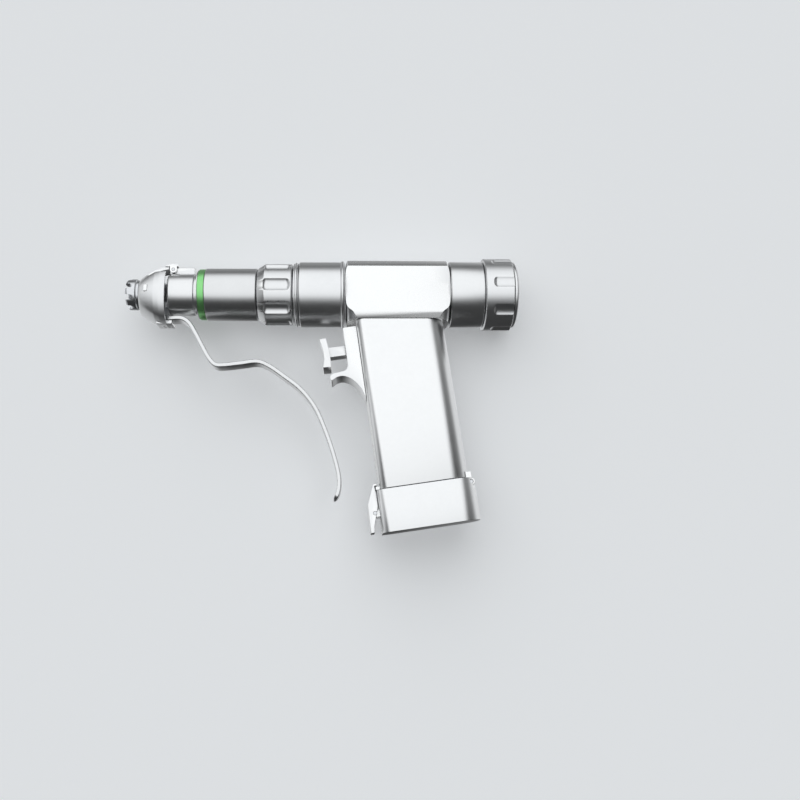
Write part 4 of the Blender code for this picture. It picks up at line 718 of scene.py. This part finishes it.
stands_for(neck_piece, "attachment_neck")
print("neck", len(neck_piece.data.polygons), "faces")

# %% [markdown]
# ## Nose
# The castellated nut at the tip has eight round-bottomed notches, which let a key grip it. The
# notch is drawn once and Geometry Nodes sets copies of it round the axis and cuts them all. The
# slit collet shows inside, round the hole that a wire passes through.

# %% A geometry tree that copies a tool round the barrel
copying = Shape("copy_round", {"Count": "Int", "Phase": "Float"})
one_spot = {"Count": copying.input("Count"), "Offset": (0.0, 0.0, 0.0)}
points = copying.node("GeometryNodeMeshLine", {}, one_spot)
number = copying.node("GeometryNodeInputIndex", {}, {})
share = number.math("DIVIDE", copying.input("Count")) * (2 * math.pi) + copying.input("Phase")
spin = copying.node("ShaderNodeCombineXYZ", {}, {"Z": share})
placing = {"Points": points, "Instance": copying.input("Geometry"), "Rotation": spin}
copies = copying.node("GeometryNodeInstanceOnPoints", {}, placing)
copying.finish(copies)
print("copying tree has", len(copying.tree.nodes), "nodes")

# %% Outlines on planes
side_to_barrel = Matrix(((0, 1, 0), (0, 0, 1), (1, 0, 0))).to_4x4()
outward = Matrix(((0, 0, 1), (1, 0, 0), (0, 1, 0))).to_4x4()


def arc(x, y, radius, start, end, count=14):
    """Points on a circle round (x, y), between two angles in degrees"""
    angles = [math.radians(start + (end - start) * i / count) for i in range(count + 1)]
    return [(x + radius * math.cos(a), y + radius * math.sin(a)) for a in angles]


def prism(name, outline, low, high, material=satin, matrix=None):
    """An outline in millimetres on the XY plane, given height from low to high along Z"""
    form = bmesh.new()
    base = form.faces.new([form.verts.new((x * MM, y * MM, low * MM)) for x, y in outline])
    raised = bmesh.ops.extrude_face_region(form, geom=[base])["geom"]
    top = [part for part in raised if isinstance(part, bmesh.types.BMVert)]
    bmesh.ops.translate(form, vec=(0, 0, (high - low) * MM), verts=top)
    return mesh_object(name, form, material, matrix)


# %% Castellated nut
NOTCHES = 8
NOTCH_WIDTH = 3.4
NOTCH_DEPTH = 3.6
NUT_PHASE = math.radians(18.1)
PAST_TIP = NOSE_TIP + 2.0
NUT_STEPS = 96
crown = [(8.3, NOSE_TIP), (9.0, 153.8), (9.0, 149.6), (8.3, 149.0), (8.3, 147.6), (4.1, 147.6), (4.1, 150.5)]
crown += [(5.4, 150.5), (5.4, 153.8), (6.4, NOSE_TIP)]
crown_piece = spun("nut_castellated", crown, steel, 0.25, NUT_STEPS, unturned)
half_notch = NOTCH_WIDTH / 2
notch_outline = arc(0, NOSE_TIP - NOTCH_DEPTH + half_notch, half_notch, 180, 360, 16)
notch_outline += [(half_notch, PAST_TIP), (-half_notch, PAST_TIP)]
notch = prism("notch", notch_outline, 5.0, 12.0, steel, outward)
copying.apply(notch, {"Count": NOTCHES, "Phase": NUT_PHASE, "Finish": steel})
cut(crown_piece, notch)
crown_piece.data.transform(barrel)
broken_edges(crown_piece, 0.2, 2, 40)
stands_for(crown_piece, "crown_nut")
print("nut", len(crown_piece.data.polygons), "faces")

# %% Slit collet
SLITS = 3
collet = [(4.0, 154.2), (5.0, 153.2), (5.0, 150.8), (2.1, 150.8), (2.1, 154.2)]
collet_piece = spun("collet_split", collet, dark_steel, 0.15, 72)
slits = block("slits", (0.5, -0.25, 151.8), (6.0, 0.25, 156.0))
copying.apply(slits, {"Count": SLITS, "Phase": 0.0, "Finish": dark_steel})
slits.data.transform(barrel)
cut(collet_piece, slits)
stands_for(collet_piece, "collet")

# %% Closing sleeve
closer = [(10.2, 141.0), (10.2, 139.4), (7.0, 139.4), (7.0, 133.8), (4.1, 133.8), (4.1, 141.0)]
stands_for(spun("sleeve_closing", closer, dark_steel, 0.25, NUT_STEPS), "collet_sleeve")

# %% [markdown]
# ## Yoke and squeeze lever
# The yoke is a cone-like hood that hangs over the nose on a cross pin. Squeezing the lever tips
# it, and it pushes the closing sleeve. It is spun, then the shoulders are cut away, which leaves
# a strap on top and two cheeks. The lever is a flat bar bent along a smooth route. Geometry
# Nodes sweeps a rounded section along that route and draws it in at both ends.

# %% Hood of the yoke
YOKE_DROP = 1.8
YOKE_WALL = 1.5
hood = [(10.9, 146.9), (11.8, 145.6), (13.4, 143.3), (15.0, 140.6), (16.4, 137.9)]
hood += [(17.4, 134.9), (18.1, 131.7), (18.2, 131.4)]
hood_inside = [(r - YOKE_WALL, forward) for r, forward in hood[::-1]]
dropped = barrel @ Matrix.Translation((-YOKE_DROP * MM, 0, 0))
yoke = spun("yoke", hood + hood_inside, satin, 0.4, 160, unturned)
CHEEK = 10.5 * MM
CHEEK_BULGE = 0.6
for point in yoke.data.vertices:
    over = max(0.0, abs(point.co.y) - CHEEK)
    point.co.y -= math.copysign(over * (1 - CHEEK_BULGE), point.co.y)
yoke.data.transform(dropped)
side_view = barrel @ side_to_barrel
SHOULDER = [(142.8, 7.2), (137.4, 10.2), (120.0, 10.2), (120.0, 24.0), (142.8, 24.0)]
shoulders = [
    prism("shoulder_near", SHOULDER, -24.6, -4.6, matrix=side_view),
    prism("shoulder_far", SHOULDER, 4.6, 24.6, matrix=side_view),
]
cut(yoke, *shoulders)
broken_edges(yoke, 0.35, 2, 35)
print("hood", len(yoke.data.polygons), "faces")

# %% Ears, strap, seat and thumbs of the yoke
EAR_RADIUS = 2.0
EAR_TOP = PIVOT_UP + 2.9
EAR_OUTER = 5.8
EAR_INNER = 4.4
ear = arc(PIVOT_FORWARD, PIVOT_UP, EAR_RADIUS, -180, 0, 15)
ear += [(PIVOT_FORWARD + EAR_RADIUS, EAR_TOP), (PIVOT_FORWARD - EAR_RADIUS, EAR_TOP)]
STRAP = [(133.4, 15.75), (133.0, 16.0), (131.5, 16.4), (129.2, 16.8), (127.4, 16.85)]
STRAP += [(126.3, 16.7), (126.0, 16.3), (126.0, 15.7), (133.4, 15.7)]
joined = [
    prism("ear_near", ear, -EAR_OUTER, -EAR_INNER, matrix=side_view),
    prism("ear_far", ear, EAR_INNER, EAR_OUTER, matrix=side_view),
    prism("strap", STRAP, -EAR_OUTER, EAR_OUTER, matrix=side_view),
    block("seat", (-19.0, -5.0, 128.4), (-16.9, 5.0, 137.4), matrix=barrel, bevel=0.3),
    block("thumb_near", (-2.0, -13.2, 141.4), (2.0, -7.6, 143.6), matrix=barrel, bevel=0.3),
    block("thumb_far", (-2.0, 7.6, 141.4), (2.0, 13.2, 143.6), matrix=barrel, bevel=0.3),
]
combined(yoke, *joined)

# %% Rivet and pivot holes
RIVETS_FORWARD = (133.2, 130.0)


def rivet_place(forward):
    """A rivet's own frame, whose Z axis points up across the barrel"""
    return barrel @ Matrix.Translation((0, 0, forward * MM)) @ Matrix.Rotation(math.pi / 2, 4, "Y")


def rivet_holes():
    """New tools for the two rivet holes, as a cut uses its tools up"""
    places = [rivet_place(forward) for forward in RIVETS_FORWARD]
    return [bar(f"rivet_hole_{i}", 1.05, (-12.0, -20.5), place) for i, place in enumerate(places)]


cut(yoke, pin("pivot_hole", 1.0, (-8, 8), PIVOT, matrix=barrel), *rivet_holes())
stands_for(yoke, "lever_yoke")
stands_for(pin("pin_pivot", 0.9, (-5.9, 5.9), PIVOT, matrix=barrel), "lever_pivot_pin")
print("yoke", len(yoke.data.polygons), "faces")

# %% A geometry tree that sweeps a bar along its route
END_NARROWING = 0.96
LEVER_SIZES = {"Thickness": 2.5, "Width": 10.0, "Corner": 0.7, "End": 4.0}
sweeping = Shape("sweep_bar", dict.fromkeys(LEVER_SIZES, "Float"))
route = sweeping.node("GeometryNodeMeshToCurve", {}, {"Mesh": sweeping.input("Geometry")})
route = sweeping.node("GeometryNodeSetCurveNormal", {"mode": "Z_UP"}, {"Curve": route})
walked = sweeping.node("GeometryNodeSplineParameter", {}, {}, 1)
whole = sweeping.node("GeometryNodeSplineLength", {}, {}, 0)
left = walked.math("MINIMUM", whole - walked)
short = 1.0 - left.math("DIVIDE", sweeping.input("End")).limited()
taper = (1.0 - short * short * END_NARROWING).math("SQRT")
flat = {"Width": sweeping.input("Thickness"), "Height": sweeping.input("Width")}
section = sweeping.node("GeometryNodeCurvePrimitiveQuadrilateral", {}, flat)
corners = {"Curve": section, "Count": 4, "Radius": sweeping.input("Corner")}
section = sweeping.node("GeometryNodeFilletCurve", {"mode": "POLY"}, corners)
sweep = {"Curve": route, "Profile Curve": section, "Fill Caps": True, "Scale": taper}
swept = sweeping.node("GeometryNodeCurveToMesh", {}, sweep)
sweeping.finish(swept)
print("sweeping tree has", len(sweeping.tree.nodes), "nodes")

# %% Route of the squeeze lever, as forward and up points
LEVER_ROUTE = [(134.6, -15.3), (129.0, -15.3), (123.0, -15.5), (118.6, -18.6), (114.6, -25.2)]
LEVER_ROUTE += [(110.8, -32.4), (107.2, -38.8), (103.4, -43.0), (98.0, -43.4), (89.0, -42.4)]
LEVER_ROUTE += [(79.5, -41.4), (72.5, -44.2), (64.0, -50.2), (54.6, -57.8), (46.5, -68.2)]
LEVER_ROUTE += [(40.6, -81.4), (35.8, -95.6), (32.9, -108.0), (33.2, -116.2), (35.6, -121.6)]
SPAN_STEPS = 16


def smooth_route(points, pieces):
    """A smooth curve through the points, each span cut in the given number of pieces"""
    ends = [points[0], *points, points[-1]]
    result = []
    for before, start, end, after in zip(ends, ends[1:], ends[2:], ends[3:]):
        p0, p1, p2, p3 = (Vector(p) for p in (before, start, end, after))
        for step in range(pieces):
            t = step / pieces
            bend = (2 * p0 - 5 * p1 + 4 * p2 - p3) * t * t + (3 * p1 - p0 - 3 * p2 + p3) * t**3
            result.append((2 * p1 + (p2 - p0) * t + bend) / 2)
    return [*result, Vector(points[-1])]


lever_points = [(forward * MM, up * MM, 0) for forward, up in smooth_route(LEVER_ROUTE, SPAN_STEPS)]
print("lever route of", len(lever_points), "points")

# %% Squeeze lever
lever_mesh = bpy.data.meshes.new("lever_squeeze")
lever_mesh.from_pydata(lever_points, [(i, i + 1) for i in range(len(lever_points) - 1)], [])
lever = added("lever_squeeze", lever_mesh)
in_metres = {label: size * MM for label, size in LEVER_SIZES.items()}
sweeping.apply(lever, {**in_metres, "Finish": lever_satin})
lever.data.transform(side_view)
shade(lever, 35)
cut(lever, *rivet_holes())
stands_for(lever, "squeeze_lever")
print("lever", len(lever.data.polygons), "faces")

# %% Lever rivets
RIVET_STEPS = 40
rivet = [(0, -13.4), (0.7, -13.42), (1.2, -13.5), (1.4, -13.7), (1.4, -13.85), (0.9, -13.85)]
rivet += [(0.9, -18.6), (0, -18.6)]
for i, forward in enumerate(RIVETS_FORWARD, 1):
    rivet_piece = spun(f"rivet_{i}", rivet, steel, 0.05, RIVET_STEPS, rivet_place(forward), solid=True)
    stands_for(rivet_piece, f"lever_rivet_{i}")

# %% [markdown]
# ## Central block
# The block is machined from one piece: a round back that carries on the barrel's line, flat
# sides, a chamfered foot and coned ends. It is the section run through from end to end, kept
# only where it lies inside a turned envelope, then bored and its edges broken.

# %% Section of the central block
HALF_WIDTH = 15.7
TOP_RADIUS = 20.0
CHAMFER_UP = -15.1
FOOT_UP = -18.6
FOOT_HALF = 14.4
BLOCK_FRONT = 28.8
BLOCK_REAR = -32.0
rise = math.degrees(math.asin(HALF_WIDTH / TOP_RADIUS))
section = arc(0, 0, TOP_RADIUS, -rise, rise, 48)
section += [(CHAMFER_UP, HALF_WIDTH), (FOOT_UP, FOOT_HALF), (FOOT_UP, -FOOT_HALF), (CHAMFER_UP, -HALF_WIDTH)]
housing = prism("block_central", section, BLOCK_REAR, BLOCK_FRONT)
print("block section of", len(section), "points")

# %% Coned ends and bore of the block
ENVELOPE_STEPS = 192
BORE_STEPS = 96
dome = [(15.7, 0.0), (18.6, 0.6), (20.2, 1.8), (21.5, 4.2), (24.2, 8.0), (27.0, 12.5)]
dome = smooth_route(dome, 4)
envelope = [(0, BLOCK_FRONT), *[(r, BLOCK_FRONT - back) for r, back in dome]]
envelope += [*[(r, BLOCK_REAR + back) for r, back in dome[::-1]], (0, BLOCK_REAR)]
turned = spun("envelope", envelope, satin, 0, ENVELOPE_STEPS, unturned, solid=True)
combined(housing, turned, operation="INTERSECT")
bore = bar("bore", 13.6, (30.0, -33.0), unturned, steps=BORE_STEPS)
wire_way = block("wire_way", (-20.0, -8.0, -10.0), (-11.6, 8.0, 6.0))
cut(housing, bore, wire_way)
housing.data.transform(barrel)
broken_edges(housing, 0.35, 2, 28)
stands_for(housing, "housing_block")
print("block", len(housing.data.polygons), "faces")

# %% [markdown]
# ## Grip, battery cover and latch
# The grip is a drawn tube with flat sides, a tight front edge and a full, round back. The cover
# below it has the same section, a little larger, and swings on a hinge at the back. A rocker
# latch on its front hooks over a catch on the grip.

# %% Sections of the grip and cover
WALL = 2.0


def tube_section(front, rear, half, front_corner, rear_corner, inset=0.0):
    """An outline with a tight front and a full back, drawn in by the inset on all sides"""
    front += inset
    rear -= inset
    half -= inset
    front_corner -= inset
    rear_corner -= inset
    points = arc(front + front_corner, half - front_corner, front_corner, 180, 90)
    points += arc(rear - rear_corner, half - rear_corner, rear_corner, 90, 0, 22)
    points += arc(rear - rear_corner, rear_corner - half, rear_corner, 0, -90, 22)
    points += arc(front + front_corner, front_corner - half, front_corner, -90, -180)
    return points[::-1]


# %% Grip
GRIP_SIZES = (-25.0, 25.4, 14.5, 5.0, 11.0)
SEAM = 24.0
GRIP_TOP = 130.0
grip = prism("grip", tube_section(*GRIP_SIZES), SEAM, GRIP_TOP)
inside = prism("grip_inside", tube_section(*GRIP_SIZES, WALL), SEAM - 1.0, GRIP_TOP + 1.0)
above = block("above", (-18.9, -30.0, -60.0), (30.0, 30.0, 60.0), matrix=barrel)
stem_hole = block("stem_hole", (-26.0, -5.7, 102.6), (-22.0, 5.7, 111.4))
cut(grip, inside, above, stem_hole)
broken_edges(grip, 0.3, 2, 50)
print("grip tube", len(grip.data.polygons), "faces")

# %% Catch and hinge knuckles of the grip
HINGE = (26.2, 21.4)
KNUCKLE_RADIUS = 2.3
HINGE_BORE = 1.2
KNUCKLE_STEPS = 48
grip_parts = [block("catch", (-27.2, -7.0, SEAM + 0.2), (-24.0, 7.0, SEAM + 2.2), bevel=0.25)]
for side in (-1, 1):
    ends = sorted((side * 4.3, side * 9.5))
    grip_parts.append(pin(f"knuckle_{side + 1}", KNUCKLE_RADIUS, ends, HINGE, satin, steps=KNUCKLE_STEPS))
    grip_parts.append(block(f"web_{side + 1}", (23.4, ends[0], 21.0), (26.6, ends[1], SEAM + 3.0)))
combined(grip, *grip_parts)
cut(grip, pin("pin_bore", HINGE_BORE, (-12, 12), HINGE))
stands_for(grip, "grip_shell")
print("grip", len(grip.data.polygons), "faces")

# %% Battery cover
COVER_SIZES = (-26.8, 28.6, 14.9, 5.0, 11.0)
COVER_TOP = 23.6
COVER_FLOOR = 2.4
LATCH_PIVOT = (-29.4, 11.6)
LATCH_EAR = 4.5
cover = prism("cover_battery", tube_section(*COVER_SIZES), 0.0, COVER_TOP)
cover_inside = prism("cover_inside", tube_section(*COVER_SIZES, WALL), COVER_FLOOR, COVER_TOP + 1.0)
hinge_notch = block("hinge_notch", (23.0, -10.0, 17.8), (29.6, 10.0, 24.6))
cut(cover, cover_inside, hinge_notch)
broken_edges(cover, 0.4, 3, 50)
cover_parts = [
    pin("cover_knuckle", KNUCKLE_RADIUS, (-4.0, 4.0), HINGE, satin, steps=KNUCKLE_STEPS),
    block("cover_web", (26.6, -4.0, 16.4), (28.5, 4.0, 21.4)),
]
for side in (-1, 1):
    low = side * LATCH_EAR - 1.2
    latch_ear = block(f"latch_ear_{side + 1}", (-31.3, low, 9.4), (-26.3, low + 2.4, 13.8), bevel=0.4)
    cover_parts.append(latch_ear)
combined(cover, *cover_parts)
cover_bore = pin("cover_bore", HINGE_BORE, (-12, 12), HINGE)
latch_bore = pin("latch_bore", HINGE_BORE, (-10, 10), LATCH_PIVOT)
cut(cover, cover_bore, latch_bore)
stands_for(cover, "battery_cover")
stands_for(pin("pin_hinge", 1.1, (-9.1, 9.1), HINGE), "cover_hinge_pin")
stands_for(pin("pin_latch", 1.1, (-8.2, 8.2), LATCH_PIVOT), "latch_pin")
print("cover", len(cover.data.polygons), "faces")

# %% Latch
side_to_world = Matrix(((1, 0, 0), (0, 0, -1), (0, 1, 0))).to_4x4()
LATCH_HALF = 8.5
POCKET_HALF = 1.7
latch_outline = [(-33.2, 0.9), (-30.9, 0.9), (-30.4, 5.0), (-27.3, 15.0), (-27.3, 22.0), (-27.8, 26.5)]
latch_outline += [(-26.1, 26.5), (-26.1, 27.7), (-28.4, 27.7), (-30.6, 22.4), (-32.9, 16.4)]
latch = prism("latch_rocker", rounded(latch_outline, 0.5), -LATCH_HALF, LATCH_HALF, satin, side_to_world)
broken_edges(latch, 0.45, 3, 50)
pockets = []
for middle in (-LATCH_EAR, LATCH_EAR):
    low = (-31.7, middle - POCKET_HALF, 8.2)
    high = (-25.8, middle + POCKET_HALF, 15.0)
    pockets.append(block("pocket", low, high))
cut(latch, *pockets, pin("latch_cross", HINGE_BORE, (-10, 10), LATCH_PIVOT))
stands_for(latch, "battery_latch")
print("latch", len(latch.data.polygons), "faces")

# %% [markdown]
# ## Trigger
# One finger pulls a plate that is hollowed along its height, on a flat stem that slides into a
# plain housing. The housing ends below in a horn, which keeps the finger from slipping off.

# %% Trigger housing and its horn
TRIGGER_Z = 107.0
HOUSING_HALF = 8.5
HOUSING_TOP = [(-25.3, 12.6), (-33.0, 12.4)]
HORN = [(-33.0, -10.0), (-34.2, -12.2), (-36.6, -13.2), (-41.8, -13.7), (-43.5, -14.6), (-44.0, -16.1)]
HORN += [(-43.4, -17.7), (-41.9, -17.1), (-39.8, -16.1), (-36.7, -15.9), (-33.2, -17.4)]
HORN += [(-30.0, -20.4), (-27.4, -24.4), (-25.3, -30.4)]
guard_curve = [*HOUSING_TOP, *smooth_route(HORN, 5)]
guard_outline = [(x, z + TRIGGER_Z) for x, z in guard_curve][::-1]
guard = prism("housing_trigger", guard_outline, -HOUSING_HALF, HOUSING_HALF, satin, side_to_world)
broken_edges(guard, 0.4, 3, 50)
cut(guard, block("guard_passage", (-34.0, -5.8, 102.5), (-24.0, 5.8, 111.5)))
stands_for(guard, "trigger_housing")
print("trigger housing", len(guard.data.polygons), "faces")

# %% Trigger plate, stem and plunger
PLATE_HALF = 8.0
PLATE_FRONT = [(-47.1, 7.4), (-46.4, 3.6), (-45.8, -0.6), (-46.0, -5.0), (-47.2, -9.4)]
PLATE_REAR = [(-42.6, -9.6), (-42.4, -4.6), (-42.6, 0.6), (-43.5, 7.6)]
plate_curve = smooth_route(PLATE_FRONT, 8) + smooth_route(PLATE_REAR, 5)
plate_outline = rounded([(x, z + TRIGGER_Z) for x, z in plate_curve], 0.3)
plate = prism("trigger_plate", plate_outline[::-1], -PLATE_HALF, PLATE_HALF, satin, side_to_world)
broken_edges(plate, 0.45, 3, 45)
stem = block("stem", (-43.2, -4.2, 104.1), (-27.0, 4.2, 109.9), bevel=0.25)
plunger_place = Matrix.Translation((0, 0, TRIGGER_Z * MM)) @ Matrix.Rotation(math.pi / 2, 4, "Y")
plunger = bar("plunger", 2.0, (-11.5, -28.0), plunger_place, steel, 0.2, 40)
combined(plate, stem, plunger)
stands_for(plate, "trigger")
print("trigger", len(plate.data.polygons), "faces")

# %% [markdown]
# ## Springs
# The trigger's spring and the lever's return spring are copies of the CAD coils, which take
# their places and ride with their bodies. Each coil's length and its joint's travel are printed.

# %% Copies of the springs
TRIGGER_TRAVEL = 6.0 * MM
CLOSER_TRAVEL = 1.7 * MM


def closing_spring(node, axis, travel):
    """A copy of a coil that takes its place; its length along the axis and the travel are printed"""
    spring = stands_for(added(f"{node}_closing", nodes[node].data.copy()), node)
    reach = [axis.dot(point.co) for point in spring.data.vertices]
    length = max(reach) - min(reach)
    middle = sum((point.co for point in spring.data.vertices), Vector()) / len(reach)
    anchor = middle + axis * (min(reach) - axis.dot(middle))
    1 - travel / length
    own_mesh(spring)
    print(spring.name, round(length / MM, 2), "mm long, closes", travel / MM)


forward = barrel.to_3x3() @ Vector((0, 0, 1))
closing_spring("trigger_spring", Vector((-1, 0, 0)), TRIGGER_TRAVEL)
closing_spring("lever_return_spring", forward, CLOSER_TRAVEL)

# %% [markdown]
# ## Setting
# In the photograph the drill lies on its side, seen from above. The model stands upright here,
# so the pale ground is an upright plane a millimetre behind its far side, and the camera looks
# at that plane almost squarely. The ground shows only to the camera and only from its front, so
# the world lights the drill from all round and the far side can be looked at too. It glows a
# little, as if lit from elsewhere, which keeps the drill's shadow pale.

# %% Ground
GROUND_BEHIND = 22.2
GROUND_MIDDLE = 80.0
GROUND_REACH = 2.0
GROUND_COLOUR = (0.80, 0.813, 0.825)
GROUND_GLOW = 0.22
form = bmesh.new()
bmesh.ops.create_grid(form, x_segments=1, y_segments=1, size=GROUND_REACH)
ground_middle = Matrix.Translation((0, GROUND_BEHIND * MM, GROUND_MIDDLE * MM))
ground_place = ground_middle @ Matrix.Rotation(math.pi / 2, 4, "X")
ground_finish = Finish("pale_ground", GROUND_COLOUR, 0.9)
ground_finish.set("Emission Color", (*GROUND_COLOUR, 1.0))
ground_finish.set("Emission Strength", GROUND_GLOW)
path = ground_finish.node("LightPath", {}, {}, "Is Camera Ray")
behind = ground_finish.node("NewGeometry", {}, {}, "Backfacing")
seen = path * (1.0 - behind)
clear = ground_finish.node("BsdfTransparent", {}, {})
pale = Value(ground_finish.tree, ground_finish.shader.outputs[0])
shown = ground_finish.node("MixShader", {}, {0: seen, 1: clear, 2: pale})
output = ground_finish.tree.nodes["Material Output"]
ground_finish.tree.links.new(shown.socket, output.inputs["Surface"])
ground = mesh_object("ground", form, ground_finish.material, ground_place)
print("ground", GROUND_BEHIND, "mm behind the middle of the drill")

# %% [markdown]
# Polished and satin metal shows what stands round it, so the world is the light. A wide, soft
# panel hangs in front and above, as a big lamp would, and smaller glows at the nose, the rear and
# behind keep the other sides from going dark. Each glow depends only on the direction looked in.
# The camera itself sees a plain backdrop in their place.

# %% World
PANEL_FRONT = Vector((-0.07, -0.90, 0.42)).normalized()
PANEL_SIDE = PANEL_FRONT.cross(Vector((0, 0, 1))).normalized()
PANEL_RISE = PANEL_SIDE.cross(PANEL_FRONT)
PANEL_WIDTH = 0.70
PANEL_HEIGHT = 0.86
PANEL_EDGE = (0.78, 1.17)
PANEL_STRENGTH = 1.17
FAINTEST = 0.045
SKY_COLOUR = (0.965, 0.985, 1.0, 1.0)
BACKDROP = 0.745

# Each glow's direction, where it starts and is full, as cosines, and its strength
GLOWS = {
    "nose": ((-0.90, -0.22, 0.36), 0.78, 0.97, 0.5),
    "rear left": ((-0.77, 0.62, 0.12), 0.55, 0.95, 0.65),
    "rear right": ((0.77, 0.62, 0.12), 0.55, 0.95, 0.65),
    "behind": ((0.0, 0.80, 0.60), 0.6, 0.98, 0.3),
    "end": ((0.93, 0.15, 0.33), 0.4, 0.95, 0.16),
}


class Sky(Finish):
    """The world, whose shader is its background"""

    def __init__(self):
        world = bpy.data.worlds.new("studio")
        bpy.context.scene.world = world
        world.use_nodes = True
        self.tree = world.node_tree
        self.shader = self.tree.nodes["Background"]
        self.direction = self.node("TexCoord", {}, {}, "Generated")

    def towards(self, light):
        """1 where the sky lies straight towards a light, 0 at a right angle to it"""
        return self.node("VectorMath", {"operation": "DOT_PRODUCT"}, {0: self.direction, 1: light}, 1)

    def smooth(self, value, low, high):
        inputs = {0: value, 1: low, 2: high}
        return self.node("MapRange", {"interpolation_type": "SMOOTHERSTEP"}, inputs)


sky = Sky()
aside = sky.towards(PANEL_SIDE) * (1 / PANEL_WIDTH)
above = sky.towards(PANEL_RISE) * (1 / PANEL_HEIGHT)
away = (aside * aside + above * above).math("SQRT")
ahead = sky.smooth(sky.towards(PANEL_FRONT), 0.0, 0.2)
panel = (1.0 - sky.smooth(away, *PANEL_EDGE)) * ahead
light = FAINTEST + PANEL_STRENGTH * panel
for direction, start, full, strength in GLOWS.values():
    light = light + strength * sky.smooth(sky.towards(Vector(direction).normalized()), start, full)
seen = sky.node("LightPath", {}, {}, "Is Camera Ray")
sky.set("Color", SKY_COLOUR)
sky.set("Strength", light + seen * (BACKDROP - light))
print("sky: a soft panel, glows at", ", ".join(GLOWS), "and backdrop", BACKDROP)

# %% [markdown]
# The camera stands where it stood for the photograph, as nearly as points of the drill in the
# picture tell. Its axes are written out, since the view is slightly turned as well as tilted.

# %% Camera
RIGHT = Vector((0.9879, -0.0523, -0.1459))
UP = Vector((0.1321, -0.2076, 0.9693))
FORWARD = Vector((0.0810, 0.9768, 0.1982))
PLACE = Vector((-0.0456, -0.4799, -0.0228))
SENSOR_WIDTH = 36.0
FOCAL_LENGTH = 38.25
camera_data = bpy.data.cameras.new("camera")
camera_data.sensor_width = SENSOR_WIDTH
camera_data.lens = FOCAL_LENGTH
camera = added("camera", camera_data)
turn = Matrix((RIGHT, UP, -FORWARD)).transposed()
camera.rotation_mode = "QUATERNION"
camera.rotation_quaternion = turn.to_quaternion()
camera.location = PLACE
bpy.context.scene.camera = camera
bpy.context.scene.view_settings.view_transform = "Standard"
